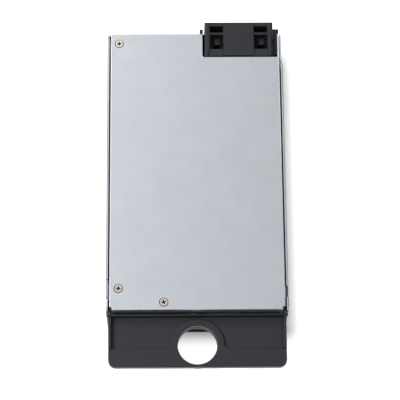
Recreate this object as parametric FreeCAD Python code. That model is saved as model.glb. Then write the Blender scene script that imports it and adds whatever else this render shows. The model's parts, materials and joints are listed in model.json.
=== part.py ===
import FreeCAD, Part
import math
import os

# Hot swap server power supply, in millimetres.
# +Z is up, +Y points to the rear end with the output connector, and the pull handle is at -Y.
# The origin is the centre of the case's bottom face.

V = FreeCAD.Vector
past = 1.0  # how far a cutting tool runs past the face that it opens

# Sheet-metal case
case_width = 101.0
case_length = 166.0
case_height = 40.4
sheet = 1.0
bend_inside = 0.4
wall_drop = 0.6  # the side walls end this far below the lid's top face
lid_side_gap = 0.55  # between the lid's flange and the side wall
lid_front_gap = 0.25  # between the lid's front flange and the front wall
lid_flange_depth = 8.0
lid_left_flange_stop = 11.0  # from the rear edge
lid_corner_relief = 1.7
tab_clearance = 0.05
rear_tab_length = 17.0
rear_tab_slot = 1.2
corner_round = 1.5

# Lid screws, M3 countersunk: distance from the left side and from the nearer end of the case
screw_radius = 1.5
screw_length = 6.0
screw_head_radius = 2.6
screw_fit = 0.05
pan_head_radius = 2.8
pan_head_height = 1.8
rear_screw_from_left = 6.7
rear_screw_from_rear = 6.0
side_screw_from_left = 6.9
side_screw_from_front = 12.3
front_screw_from_left = 32.0
front_screw_from_front = 4.35
screw_tab_half = 5.0
front_tab_half = 4.2
tab_joggle = 1.2  # the side tabs leave the wall this far below their seat
tab_relief_width = 0.6
tab_relief_depth = 1.6
recess_width = 0.75
recess_length = 3.0
recess_depth = 1.3

# Lid hook that locks into a notch in the right side wall
hook_from_front = 7.4
hook_length = 6.0
hook_depth = 2.0
hook_clearance = 0.3

# Output connector and its cut-outs
connector_width = 39.8
connector_from_right = 5.1  # from the case's right side
connector_sink = 1.0  # its top below the lid's top
connector_reach = 7.8  # beyond the rear of the case
connector_length = 21.5
connector_edge_break = 0.8
cutout_width = 43.6
cutout_shift = 0.7  # its middle to the right of the connector's
cutout_depth = 14.3
cutout_round = 1.2
window_spread = 12.8  # from the connector's middle to a window's middle
window_width = 7.8
window_depth = 10.0
window_from_rear = 2.4
window_short = 4.0
window_rib = 1.4
window_long = 10.1
window_rib_height = 2.5
window_step = (3.2, 4.0)  # the block that stands in each long window
window_step_shift = 0.3
window_step_rise = 5.5
ear_reach = 5.0
ear_width = 1.9
ear_gap = 0.8
ear_top = 36.0
ear_foot = 12.0
ear_root = 3.0  # how far it reaches in behind the rear wall
right_ear_width = 3.5
rail_drop = 2.0  # the side rail below the ears
rail_rib = 0.5
socket_width = 14.0
socket_height = 22.0
socket_depth = 7.0
blade_slot_width = 2.4
blade_slot_pitch = 4.2
blade_slot_height = 17.0
blade_slot_depth = 13.0
blade_thickness = 0.8
blade_margin = 0.6
blade_tail = 3.0  # behind the connector
contact_setback = 2.0
pin_tail = 1.5
signal_columns = 3
signal_rows = 8
signal_pitch = 2.4
signal_pin = 0.64

# Front bezel
bezel_thickness = 1.4
bezel_gap = 0.8
bezel_edge = 0.4
bezel_side_step = 0.2
bezel_drop = 5.5  # its ledge below the lid's top
bezel_lift = 0.4
bezel_screw_inset = 4.6
bezel_screw_height = 5.0
bezel_boss_radius = 2.8
vent_across = 7.4  # rear vent cells
vent_web = 1.4
vent_margin = 4.0
grille_across = 6.0
grille_web = 1.2
grille_bottom = 3.2
grille_margin = 0.5  # inside the fan's outline
grille_from_handle = 3.5

# Pull handle
handle_reach = 28.6
handle_side_step = 1.25
handle_floor_drop = 8.0  # its floor below the lid's top
handle_floor_thickness = 2.1
rail_width = 1.6
bar_length = 10.7
bar_rise = 1.3
handle_corner = 4.2
finger_radius = 10.95
finger_from_front = 12.5
boss_radius = 14.9
boss_foot_round = 2.4
handle_edge = 0.5
finger_edge = 0.8
handle_screw_inset = 3.7
handle_screw_drop = 2.6  # its axis below the handle's floor
handle_screw_head = 2.4
handle_boss_width = 4.6
handle_boss_drop = 2.2  # the boss's foot below the screw's axis
handle_gusset = 9.0
handle_screw_length = 10.0

# Mains inlet
inlet_z = 14.0
inlet_from_left = 6.7  # from the case's left side to the flange
inlet_flange_step = 2.0  # the flange round the body
inlet_flange_height = 24.0
inlet_flange_thickness = 2.0
inlet_body_width = 27.0
inlet_body_height = 19.8
inlet_body_depth = 20.0
inlet_cutout_clearance = 0.2
inlet_cavity_width = 24.4
inlet_cavity_height = 16.4
inlet_cavity_depth = 17.0
inlet_cavity_chamfer = 5.0
inlet_pin_spread = 7.0
inlet_pin_offset = 2.0
inlet_pin_thickness = 2.0
inlet_pin_height = 4.0
inlet_pin_setback = 1.5
inlet_tail = 1.2

# Fan
fan_depth = 28.0
fan_air = 0.2  # between the fan and the case's floor and lid
fan_side_gap = 0.5
fan_corner = 2.0
fan_wall = 1.4
fan_screw_inset = 3.0
fan_screw_radius = 1.9
fan_screw_fit = 0.1
fan_screw_length = 9.0
fan_screw_head_step = 0.85
hub_radius = 9.3
hub_wall = 1.0
hub_end = 1.5
hub_gap = 0.6
hub_length = 19.0
hub_base_thickness = 2.0
hub_base_radius = 9.3
duct_sides = 36  # flats round the fan's large turned faces
tube_sides = 12  # and round its hidden ones
strut_width = 1.8
strut_depth = 2.5
strut_count = 4
blade_count = 5
blade_tip_gap = 0.5
blade_sheet = 1.0
root_chord = 13.5
tip_chord = 16.5
root_stagger = 38.0
tip_stagger = 48.0
blade_bow = 1.6
blade_steps = 3  # flats along a blade's bow
blade_spans = 2  # and from its root to its tip
shaft_radius = 1.0
shaft_fit = 0.03
bearing_radius = 2.6
bearing_width = 2.5
bearing_fit = 0.02
tube_radius = 3.8
tube_length = 14.0
stator_radius = 7.4
stator_length = 9.0
stator_pole_slot = 1.6

# Status light at the left of the front
light_pipe_from_left = 4.9
light_pipe_height = 4.2  # its axis above the board
light_pipe_radius = 1.2
light_pipe_proud = 0.3
led_size = 2.8
led_inset = 1.0  # from the board's front edge

# Release latch at the right of the front
latch_from_right = 6.5
latch_from_front = 23.0
latch_bottom = 9.5
latch_top = 20.5
latch_thickness = 3.0
latch_hub_radius = 3.5
latch_pin_radius = 1.5
latch_pin_fit = 0.05
latch_seat_gap = 0.2
latch_shoulder_radius = 3.0
latch_reach = 18.0  # of the finger tab in front of the bezel
latch_pad_length = 11.0
latch_pad_thickness = 4.2
grip_count = 4
grip_pitch = 2.0
grip_height = 0.6
latch_travel_deg = 7.0
catch_reach = 1.5  # beyond the side wall
catch_from_pivot = 9.0
catch_length = 6.5
catch_bottom = 11.0
catch_top = 18.0
window_clearance = 0.6
clip_thickness = 0.6
clip_radius = 3.0
spring_sheet = 0.3
spring_radius = 5.6
spring_from_latch = 8.4  # the anchor's face, from the pivot
spring_tab_length = 11.0
spring_bottom = 12.0
spring_top = 18.0
spring_gap = 0.1

# Main board
insulator_thickness = 0.4
board_bottom = 5.0
board_thickness = 1.6
board_side_gap = 2.5
board_rear_gap = 5.0
board_fan_gap = 2.75
board_inlet_gap = 0.3
tongue_fan_gap = 2.6
standoff_radius = 2.6  # across the corners of the hexagon
standoff_hole_fit = 0.4
standoff_inset = 4.0
board_screw_radius = 1.5
board_screw_head = 2.7  # across the corners of the hexagon
board_screw_head_height = 1.8
board_screw_depth = 3.0
seat = 0.05  # air between a component and what it stands on or beside
lead_radius = 0.5

# Components on the main board
fuse_length = 19.5
fuse_radius = 2.6
fuse_cap_step = 0.3
fuse_cap_length = 4.0
fuse_inset = 1.0
fuse_from_tongue = 7.5
choke_inset = 2.5
choke_gap = 2.0
choke_width = 20.0
choke_depth = 18.0
choke_height = 14.0
choke_leg = 4.5
choke_lift = 5.0
choke_from_front = 3.0
choke_coil = 0.95  # thickness of the winding on a leg
line_capacitor_size = (8.0, 8.0, 14.5)
filter_capacitor_size = (7.0, 17.0, 14.5)
relay_size = (20.0, 13.5, 16.0)
relay_from_front = 0.5
disc_radius = 3.6
disc_thickness = 2.4
disc_pitch = 8.0
bulk_air = 2.8  # between the large can and the lid
bulk_inset = 2.0
bulk_end_gap = 5.0
bulk_rim = 1.2
bulk_groove = 0.8
can_sides = 30
output_can_sides = 16
toroid_gap = 0.8
toroid_radius = 16.0
toroid_hole = 8.5
toroid_height = 14.0
turn_count = 16
turn_start = 20.0  # degrees left free at the ends of the winding
wire = 1.4
heatsink_plate = 3.0
heatsink_air = 4.4  # between the heatsinks and the lid
heatsink_lift = 5.0  # above the board
heatsink_fins = 4
fin_pitch = 6.7
fin_sheet = 1.4
primary_length = 45.0
secondary_length = 26.0
spare_before = 0.7  # share of the spare length that lies before the primary heatsink
package_thickness = 4.5
package_width = 11.0
package_height = 15.0
package_lift = 9.0
package_gap = 1.5
bridge_width = 18.0
core_from_left = 43.0  # its middle from the board's left edge
core_from_rear = 38.0
core_half_x = 17.0
core_half_y = 13.0
core_middle_leg = 5.5
core_side_leg = 4.5
core_back = 6.0
core_lift = 3.0
core_air = 1.8  # between the transformer and the lid
core_corner = 1.5
winding_overhang = 3.0
output_choke_size = (18.0, 22.0, 19.0)
output_choke_from_rear = 50.0
output_can_radius = 5.0
output_can_height = 21.0
output_can_pitch = 11.5
output_can_columns = 2
output_can_rows = (16.6, 6.0)  # from the board's rear edge
output_can_inset = 13.0
control_board_gap = 3.5
control_board_sheet = 1.6
control_board_length = 30.0
control_board_air = 5.4
chip_size = (1.8, 5.0, 7.0)
chip_pitch = 9.5
busbar_length = 6.25
busbar_foot = 1.5
busbar_rise = 10.0
part_gap = 1.0

# Positions that follow from the sizes above
half = case_width / 2
inside = half - sheet
front = -case_length / 2
rear = case_length / 2
lid_top = case_height
lid_under = case_height - sheet
wall_top = case_height - wall_drop
lid_half = inside - lid_side_gap
wall_face = front + sheet + lid_front_gap
wall_back = wall_face + sheet
bezel_back = front - bezel_gap
bezel_face = bezel_back - bezel_thickness
bezel_half = half - bezel_side_step
bezel_top = case_height - bezel_drop
handle_half = half - handle_side_step
handle_front = bezel_face - handle_reach
handle_floor = case_height - handle_floor_drop
handle_foot = handle_floor - handle_floor_thickness
bar_top = handle_floor + bar_rise
finger_y = handle_front + finger_from_front
step_y = handle_front + bar_length
connector_top = case_height - connector_sink
connector_rear = rear + connector_reach
connector_front = connector_rear - connector_length
connector_right = half - connector_from_right
connector_left = connector_right - connector_width
connector_x = (connector_left + connector_right) / 2
cutout_x = connector_x + cutout_shift
inlet_flange_width = inlet_body_width + 2 * inlet_flange_step
inlet_x = -half + inlet_from_left + inlet_flange_width / 2
inlet_back = bezel_face + inlet_body_depth
latch_pivot_x = half - latch_from_right
latch_pivot_y = front + latch_from_front
spring_anchor_x = latch_pivot_x - spring_from_latch
fan_size = lid_under - sheet - 2 * fan_air
fan_x = spring_anchor_x - sheet - fan_side_gap - fan_size / 2
fan_z = (sheet + lid_under) / 2
fan_front = wall_back
fan_rear = wall_back + fan_depth
fan_duct_radius = fan_size / 2 - fan_wall
fan_screw_pitch = fan_size - 2 * fan_screw_inset
board_top = board_bottom + board_thickness
board_half = inside - board_side_gap
board_rear = rear - board_rear_gap
board_front = fan_rear + board_fan_gap
light_pipe_x = -half + light_pipe_from_left
light_pipe_z = board_top + light_pipe_height
led_face = inlet_back + board_inlet_gap + led_inset
board_tongue_front = inlet_back + board_inlet_gap
board_tongue_right = fan_x - fan_size / 2 - tongue_fan_gap
rear_tab_inner = lid_half + tab_clearance
handle_screw_x = half - handle_screw_inset
handle_screw_height = handle_floor - handle_screw_drop
bezel_screw_x = half - bezel_screw_inset

choke_y = board_front + choke_from_front + choke_depth / 2
choke_rear = choke_y + choke_depth / 2
line_choke_x = -board_half + choke_inset + choke_width / 2
filter_x = line_choke_x + 1.5 * choke_width + choke_gap + choke_inset
relay_x = filter_x + filter_capacitor_size[0] + choke_gap
relay_rear = board_front + relay_from_front + relay_size[1]
core_x = -board_half + core_from_left
core_y = board_rear - core_from_rear
core_foot = board_top + core_lift
core_top = lid_under - core_air
bulk_radius = (lid_under - bulk_air - board_top) / 2
bulk_x = -board_half + bulk_inset + bulk_radius
bulk_y = choke_rear + bulk_end_gap
output_choke_y = board_rear - output_choke_from_rear
bulk_length = output_choke_y - bulk_end_gap - choke_gap - bulk_y
toroid_x = bulk_x + bulk_radius + toroid_gap + toroid_radius + wire + seat
toroid_y = (choke_rear + core_y - core_half_y - winding_overhang) / 2
control_board_x = core_x + core_half_x + control_board_gap
heatsink_x = heatsink_plate / 2 + seat + package_thickness + part_gap + max(
    toroid_x + toroid_radius + wire, control_board_x + control_board_sheet + chip_size[0])
heatsink_top = lid_under - heatsink_air
secondary_rear = connector_front - busbar_length - part_gap
secondary_front = secondary_rear - secondary_length
spare_length = secondary_front - relay_rear - primary_length
primary_front = relay_rear + spare_before * spare_length
disc_y = relay_rear + spare_before / 2 * spare_length

lid_screw_places = [
    (-half + rear_screw_from_left, rear - rear_screw_from_rear),
    (-half + side_screw_from_left, front + side_screw_from_front),
    (-half + front_screw_from_left, front + front_screw_from_front),
]


# Shared shapes

def block(x0, x1, y0, y1, z0, z1):
    return Part.makeBox(x1 - x0, y1 - y0, z1 - z0, V(x0, y0, z0))


def rod(radius, x, y, z, along):
    """A cylinder that starts at x, y, z and runs along the vector."""
    return Part.makeCylinder(radius, along.Length, V(x, y, z), along)


def stud(radius, x, y, z, along, sides=8):
    """A many-sided prism for a small round piece or bore that stays out of sight."""
    right = V(0, 1, 0) if along.x else V(1, 0, 0)
    up = V(0, 1, 0) if along.z else V(0, 0, 1)
    turns = [2 * math.pi * (k + 0.5) / sides for k in range(sides)]
    corners = [V(x, y, z) + right * (radius * math.cos(a)) + up * (radius * math.sin(a))
               for a in turns]
    return Part.Face(Part.makePolygon(corners + corners[:1])).extrude(along)


def cone(radius0, radius1, x, y, z, along):
    return Part.makeCone(radius0, radius1, along.Length, V(x, y, z), along)


def facet(corners):
    return Part.Face(Part.makePolygon(corners + corners[:1]))


def skin_between(sections):
    """A solid whose skin of flat facets joins a row of closed outlines with equal corner counts."""
    faces = [facet(sections[0]), facet(sections[-1])]
    count = len(sections[0])
    for near, far in zip(sections, sections[1:]):
        for k in range(count):
            after = (k + 1) % count
            faces.append(facet([near[k], near[after], far[after]]))
            faces.append(facet([near[k], far[after], far[k]]))
    return Part.makeSolid(Part.makeShell(faces))


def taper(radius0, radius1, x, y, z, height, sides=20):
    """An upright many-sided cone, for a countersink and the head that fills it."""
    turns = [2 * math.pi * k / sides for k in range(sides)]
    rings = [[V(x + radius * math.cos(a), y + radius * math.sin(a), level) for a in turns]
             for radius, level in ((radius0, z), (radius1, z + height))]
    return skin_between(rings).removeSplitter()


def prism(points, along):
    """A flat polygon pushed along a vector."""
    corners = [V(*p) for p in points]
    return Part.Face(Part.makePolygon(corners + corners[:1])).extrude(along)


def runs_along(edge, axis):
    """True for a straight edge that runs along the axis 'x', 'y' or 'z'."""
    if len(edge.Vertexes) != 2:
        return False
    step = edge.Vertexes[1].Point - edge.Vertexes[0].Point
    others = [getattr(step, name) for name in "xyz" if name != axis]
    return step.Length > 1e-6 and max(abs(v) for v in others) < 1e-6


def round_edges(shape, radius, pick):
    """Rounds the edges that the test picks by their middle point and direction."""
    chosen = [edge for edge in shape.Edges if pick(edge)]
    return shape.makeFillet(radius, chosen)


def chamfer_edges(shape, size, pick):
    """Breaks the edges that the test picks with a flat."""
    chosen = [edge for edge in shape.Edges if pick(edge)]
    return shape.makeChamfer(size, chosen)


def rounded_plate(x0, x1, y0, y1, z0, z1, radius, axis="z"):
    """A block whose four edges along one axis are rounded."""
    plate = block(x0, x1, y0, y1, z0, z1)
    return round_edges(plate, radius, lambda e: runs_along(e, axis))


def hexagon(x, z, across, y, depth):
    """A hexagonal prism that runs along +Y."""
    corner = across / math.sqrt(3)
    turns = [math.radians(60 * k + 30) for k in range(6)]
    points = [(x + corner * math.cos(a), y, z + corner * math.sin(a)) for a in turns]
    return prism(points, V(0, depth, 0))


def honeycomb(x0, x1, z0, z1, across, web, y, depth):
    """A field of hexagonal prisms that fills a rectangle, for cutting a vent."""
    pitch = across + web
    rise = pitch * math.sqrt(3) / 2
    corner = across / math.sqrt(3)
    rows = int((z1 - z0 - 2 * corner) / rise) + 1
    start_z = (z0 + z1) / 2 - (rows - 1) * rise / 2
    cells = []
    for row in range(rows):
        shift = pitch / 2 if row % 2 else 0
        columns = int((x1 - x0 - across - shift) / pitch) + 1
        for column in range(columns):
            x = x0 + across / 2 + shift + column * pitch
            cells.append(hexagon(x, start_z + row * rise, across, y, depth))
    return cells


def about(shape, x, z, degrees):
    """A copy turned about an axis that runs along +Y through x, z."""
    turned = shape.copy()
    turned.rotate(V(x, 0, z), V(0, 1, 0), degrees)
    return turned


def save(name, shape):
    shape.exportStep("parts/" + name + ".step")


def group(shapes):
    return Part.makeCompound(shapes)


# Case

def base_chassis():
    outer = block(-half, half, front, rear, 0, wall_top)
    outer = round_edges(outer, sheet + bend_inside,
                        lambda e: runs_along(e, "y") and e.CenterOfMass.z < sheet)
    inner = block(-inside, inside, front - past, rear + past, sheet, wall_top + past)
    inner = round_edges(inner, bend_inside,
                        lambda e: runs_along(e, "y") and e.CenterOfMass.z < sheet + past)
    tray = outer.cut(inner)
    tray = round_edges(tray, corner_round,
                       lambda e: runs_along(e, "x") and e.CenterOfMass.z > wall_top - sheet)
    tab_front = rear - rear_tab_length
    tray = tray.cut([
        block(rear_tab_inner, half + past, tab_front, rear + past, -past, wall_top + past),
        block(inside - past, half + past, tab_front - rear_tab_slot, tab_front + past,
              handle_foot, wall_top + past),
    ])
    tray = tray.fuse([rear_wall(), rear_side_tab(), front_wall()] + screw_tabs())
    tray = tray.cut(side_wall_openings() + lid_screw_holes(screw_radius + screw_fit))
    return tray.removeSplitter()


def rear_wall():
    wall = block(-inside - past / 2, rear_tab_inner + past / 2, rear - sheet, rear, 0, lid_under)
    opening_left = connector_left - ear_gap - ear_width - 2 * hook_clearance
    opening = block(opening_left, rear_tab_inner, rear - sheet - past, rear + past, board_bottom,
                    lid_under + past)
    vents = honeycomb(-inside + vent_margin, opening_left - vent_margin, vent_margin,
                      lid_under - vent_margin, vent_across, vent_web, rear - sheet - past,
                      sheet + 2 * past)
    return wall.cut([opening] + vents)


def rear_side_tab():
    tab = block(rear_tab_inner, rear_tab_inner + sheet, rear - rear_tab_length, rear, 0, wall_top)
    return round_edges(tab, corner_round,
                       lambda e: runs_along(e, "x") and e.CenterOfMass.z > wall_top - sheet)


def front_wall():
    wall = block(-inside - past / 2, inside + past / 2, wall_face, wall_back, 0, lid_under - seat)
    flange_inner = lid_half - sheet - hook_clearance
    flange_foot = lid_top - lid_flange_depth - hook_clearance
    corner_left = block(-inside, -flange_inner, wall_face - past, wall_back + past,
                        flange_foot, lid_under + past)
    corner_right = block(flange_inner, inside, wall_face - past, wall_back + past,
                         flange_foot, lid_under + past)
    fan_opening = stud(fan_duct_radius, fan_x, wall_face - past, fan_z, V(0, sheet + 2 * past, 0),
                       sides=duct_sides)
    openings = [corner_left, corner_right, fan_opening, inlet_cutout(), latch_slot()]
    openings += front_screw_holes()
    openings.append(rod(light_pipe_radius + seat, light_pipe_x, wall_face - past, light_pipe_z,
                        V(0, sheet + 2 * past, 0)))
    spring_tab = block(spring_anchor_x - sheet, spring_anchor_x, wall_face, wall_back
                       + spring_tab_length, spring_bottom - sheet, spring_top + sheet)
    return wall.cut(openings).fuse(spring_tab)


def inlet_cutout():
    w = inlet_body_width / 2 + inlet_cutout_clearance
    h = inlet_body_height / 2 + inlet_cutout_clearance
    return block(inlet_x - w, inlet_x + w, bezel_face - past, wall_back + past,
                 inlet_z - h, inlet_z + h)


def latch_slot():
    """The slot through bezel and front wall that the latch arm swings in."""
    arm = wall_face - latch_pivot_y
    swing = abs(arm) * math.sin(math.radians(latch_travel_deg)) + window_clearance
    return block(latch_pivot_x - latch_thickness / 2 - swing,
                 latch_pivot_x + latch_thickness / 2 + window_clearance,
                 bezel_face - past, wall_back + past,
                 latch_bottom - window_clearance, latch_top + window_clearance)


def front_screw_holes():
    radius = screw_radius + screw_fit
    along = V(0, wall_back - wall_face + 2 * past, 0)
    holes = []
    for side in (-1, 1):
        holes.append(stud(radius, side * handle_screw_x, wall_face - past, handle_screw_height, along))
        holes.append(stud(radius, side * bezel_screw_x, wall_face - past, bezel_screw_height, along))
        holes.append(stud(fan_screw_radius + fan_screw_fit, fan_x + side * fan_screw_pitch / 2,
                         wall_face - past, fan_z - fan_screw_pitch / 2, along))
    return holes


def screw_tabs():
    """Tabs folded in from the walls, under the lid, that take its three screws."""
    (rear_x, rear_y), (side_x, side_y), (front_x, front_y) = lid_screw_places
    front_tab = block(front_x - front_tab_half, front_x + front_tab_half, wall_face,
                      front_y + screw_tab_half, lid_under - sheet, lid_under - seat)
    return side_screw_tab(rear_x, rear_y) + side_screw_tab(side_x, side_y) + [front_tab]


def side_screw_tab(x, y):
    """A shelf from the left wall that steps up to its seat inside the lid's flange."""
    step = -lid_half + sheet + bend_inside
    y0 = y - screw_tab_half
    y1 = y + screw_tab_half
    seat_foot = lid_under - sheet
    shelf_foot = seat_foot - tab_joggle
    return [
        block(-inside - past / 2, step + sheet, y0, y1, shelf_foot, shelf_foot + sheet),
        block(step, step + sheet, y0, y1, shelf_foot, lid_under),
        block(step, x + screw_tab_half, y0, y1, seat_foot, lid_under),
    ]


def lid_screw_holes(radius):
    return [stud(radius, x, y, lid_under - 2 * sheet, V(0, 0, 3 * sheet))
            for x, y in lid_screw_places]


def side_wall_openings():
    notch_front = front + hook_from_front
    notch = block(inside - past, half + past, notch_front - hook_clearance,
                  notch_front + hook_length + hook_clearance,
                  wall_top - hook_depth - 2 * hook_clearance, wall_top + past)
    swing = (half + catch_reach - latch_pivot_x) * math.sin(math.radians(latch_travel_deg))
    window_rear = latch_pivot_y - catch_from_pivot + window_clearance
    window_front = latch_pivot_y - catch_from_pivot - catch_length - window_clearance - swing
    window = block(inside - past, half + past, window_front, window_rear,
                   catch_bottom - window_clearance, catch_top + window_clearance)
    side_y = lid_screw_places[1][1]
    reliefs = [block(-half - past, -inside + past, y, y + tab_relief_width,
                     wall_top - tab_relief_depth, wall_top + past)
               for y in (side_y - screw_tab_half - tab_relief_width, side_y + screw_tab_half)]
    return [notch, window] + reliefs


def top_cover():
    outer = block(-lid_half, lid_half, front, rear, lid_top - lid_flange_depth, lid_top)
    outer = round_edges(outer, sheet + bend_inside, lambda e: e.CenterOfMass.z > lid_under
                        and (runs_along(e, "y")
                             or (runs_along(e, "x") and e.CenterOfMass.y < 0)))
    inner = block(-lid_half + sheet, lid_half - sheet, front + sheet, rear + past,
                  lid_top - lid_flange_depth - past, lid_under)
    inner = round_edges(inner, bend_inside, lambda e: e.CenterOfMass.z > lid_under - sheet / 2
                        and (runs_along(e, "y")
                             or (runs_along(e, "x") and e.CenterOfMass.y < 0)))
    lid = outer.cut(inner)
    foot = lid_top - lid_flange_depth - past
    (rear_x, rear_y), (side_x, side_y), _ = lid_screw_places
    side_tab = screw_tab_half + hook_clearance
    cuts = [
        block(-lid_half - past, -lid_half + sheet + bend_inside, rear - lid_left_flange_stop,
              rear + past, foot, lid_under),
        block(-lid_half - past, -lid_half + sheet + bend_inside, side_y - side_tab,
              side_y + side_tab, foot, lid_under),
        block(lid_half - sheet - past, lid_half + past, rear - sheet - hook_clearance,
              rear + past, foot, lid_under),
        connector_cutout(),
    ]
    for side in (-1, 1):
        inner_x = side * (lid_half - lid_corner_relief)
        outer_x = side * (lid_half + past)
        cuts.append(block(min(inner_x, outer_x), max(inner_x, outer_x), front - past,
                          front + lid_corner_relief, foot, lid_top + past))
    cuts += [taper(screw_radius + screw_fit, screw_head_radius + screw_fit, x, y, lid_under, sheet)
             for x, y in lid_screw_places]
    hook_front = front + hook_from_front
    hook = block(lid_half - sheet / 2, half - hook_clearance, hook_front, hook_front + hook_length,
                 wall_top - hook_depth, wall_top - hook_depth + sheet)
    return lid.cut(cuts).fuse(hook).removeSplitter()


def connector_cutout():
    cut = block(cutout_x - cutout_width / 2, cutout_x + cutout_width / 2, rear - cutout_depth,
                rear + 2 * past, lid_under - bend_inside, lid_top + past)
    return round_edges(cut, cutout_round,
                       lambda e: runs_along(e, "z") and e.CenterOfMass.y < rear)


def cross_recess(x, y, z, into):
    """The cross in a screw head: two crossed slots round a pit."""
    w = recess_width / 2
    reach = recess_length / 2
    return [block(x - w, x + w, y - reach, y + reach, z - into / 2, z + past),
            block(x - reach, x + reach, y - w, y + w, z - into / 2, z + past),
            block(x - w, x + w, y - w, y + w, z - into, z)]


def cover_screws():
    screws = []
    for x, y in lid_screw_places:
        head = taper(screw_radius, screw_head_radius - screw_fit, x, y, lid_under,
                     sheet - screw_fit)
        shank = stud(screw_radius, x, y, lid_top - screw_length, V(0, 0, screw_length - sheet))
        screw = head.fuse(shank)
        screws.append(screw.cut(cross_recess(x, y, lid_top - screw_fit, recess_depth)))
    return group(screws)


def pan_screw(x, y, z, length, head_radius=pan_head_radius):
    """A pan-head screw that points to -Y, its head's bearing face at y."""
    head = stud(head_radius, x, y, z, V(0, pan_head_height, 0), sides=12)
    head = chamfer_edges(head, pan_head_height / 2, lambda e: not runs_along(e, "y")
                         and e.CenterOfMass.y > y + pan_head_height / 2)
    shank = stud(screw_radius, x, y + past, z, V(0, -length - past, 0))
    return head.fuse(shank)


def bezel_screws():
    return group([pan_screw(side * bezel_screw_x, wall_back, bezel_screw_height,
                            wall_back - bezel_back) for side in (-1, 1)])


def handle_screws():
    return group([pan_screw(side * handle_screw_x, wall_back, handle_screw_height,
                            handle_screw_length, handle_screw_head) for side in (-1, 1)])


# Front bezel and pull handle

def front_bezel():
    plate = block(-bezel_half, bezel_half, bezel_face, bezel_back, bezel_lift, bezel_top)
    plate = chamfer_edges(plate, bezel_edge, lambda e: e.CenterOfMass.y < bezel_face + 0.01)
    bosses = [stud(bezel_boss_radius, side * bezel_screw_x, wall_face, bezel_screw_height,
                   V(0, bezel_back - wall_face, 0), sides=12) for side in (-1, 1)]
    plate = plate.fuse(bosses)
    through = bezel_thickness + 2 * past
    openings = [inlet_cutout(), latch_slot()]
    openings += honeycomb(fan_x - fan_size / 2 + grille_margin, fan_x + fan_size / 2 - grille_margin,
                          grille_bottom, handle_foot - grille_from_handle, grille_across,
                          grille_web, bezel_face - past, through)
    openings.append(rod(light_pipe_radius + seat, light_pipe_x, bezel_face - past, light_pipe_z,
                        V(0, through, 0)))
    for side in (-1, 1):
        openings.append(stud(screw_radius + screw_fit, side * handle_screw_x, bezel_face - past,
                            handle_screw_height, V(0, through, 0)))
        openings.append(stud(screw_radius + screw_fit, side * bezel_screw_x, bezel_back,
                            bezel_screw_height, V(0, wall_face - bezel_back + past, 0)))
    return plate.cut(openings)


def handle_outline(z0, z1):
    """The handle's outline as a solid, with its two front corners rounded."""
    body = block(-handle_half, handle_half, handle_front, bezel_face, z0, z1)
    return round_edges(body, handle_corner,
                       lambda e: runs_along(e, "z") and e.CenterOfMass.y < bezel_face - past)


def handle_plateau():
    """The raised front bar, swelling into a round boss about the finger hole."""
    bar = block(-handle_half, handle_half, handle_front - past, step_y, handle_foot, bar_top)
    boss = rod(boss_radius, 0, finger_y, handle_foot, V(0, 0, bar_top - handle_foot))
    plateau = bar.fuse(boss).removeSplitter()
    plateau = round_edges(plateau, boss_foot_round, lambda e: runs_along(e, "z")
                          and abs(e.CenterOfMass.y - step_y) < 0.01
                          and abs(e.CenterOfMass.x) < boss_radius + 0.01)
    plateau = plateau.common(handle_outline(handle_foot, bar_top))
    return chamfer_edges(plateau, handle_edge, lambda e: e.CenterOfMass.z > bar_top - 0.01)


def handle_rails():
    rails = []
    for side in (-1, 1):
        x0, x1 = sorted((side * handle_half, side * (handle_half - rail_width)))
        rails.append(block(x0, x1, step_y - handle_edge, bezel_face, handle_foot, bezel_top))
    return rails


def pull_handle():
    slab = handle_outline(handle_foot, handle_floor)
    body = slab.fuse([handle_plateau()] + handle_rails() + handle_bosses()).removeSplitter()
    height = bar_top - handle_foot
    hole = rod(finger_radius, 0, finger_y, handle_foot - past, V(0, 0, height + 2 * past))
    rim = cone(finger_radius, finger_radius + finger_edge, 0, finger_y, bar_top - finger_edge,
               V(0, 0, finger_edge))
    bores = [stud(screw_radius - screw_fit, side * handle_screw_x, bezel_face + past,
                  handle_screw_height, V(0, -handle_screw_length, 0)) for side in (-1, 1)]
    return body.cut([hole, rim] + bores)


def handle_bosses():
    """Under each side: the block that takes the screw, and a gusset that runs out forward."""
    foot = handle_screw_height - handle_boss_drop
    bosses = []
    for side in (-1, 1):
        x0, x1 = sorted((side * handle_half, side * (handle_half - handle_boss_width)))
        rear_part = block(x0, x1, bezel_face - handle_screw_length - screw_radius, bezel_face,
                          foot, handle_foot)
        start = bezel_face - handle_screw_length - screw_radius
        gusset = prism([(x0, start, foot), (x0, start - handle_gusset, handle_foot),
                        (x0, start, handle_foot)], V(handle_boss_width, 0, 0))
        bosses += [rear_part, gusset]
    return bosses


# Mains inlet

def inlet_cavity():
    """The mouth of the inlet: a rectangle with its two upper corners cut off."""
    w = inlet_cavity_width / 2
    h = inlet_cavity_height / 2
    c = inlet_cavity_chamfer
    mouth = bezel_face - inlet_flange_thickness - past
    points = [(-w, -h), (w, -h), (w, h - c), (w - c, h), (-w + c, h), (-w, h - c)]
    return prism([(inlet_x + x, mouth, inlet_z + z) for x, z in points],
                 V(0, inlet_cavity_depth + past, 0))


def inlet_pin_places():
    """Middle of each pin: line, neutral, and the earth pin above them."""
    return [(-inlet_pin_spread, -inlet_pin_offset), (inlet_pin_spread, -inlet_pin_offset),
            (0, inlet_pin_offset)]


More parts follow.
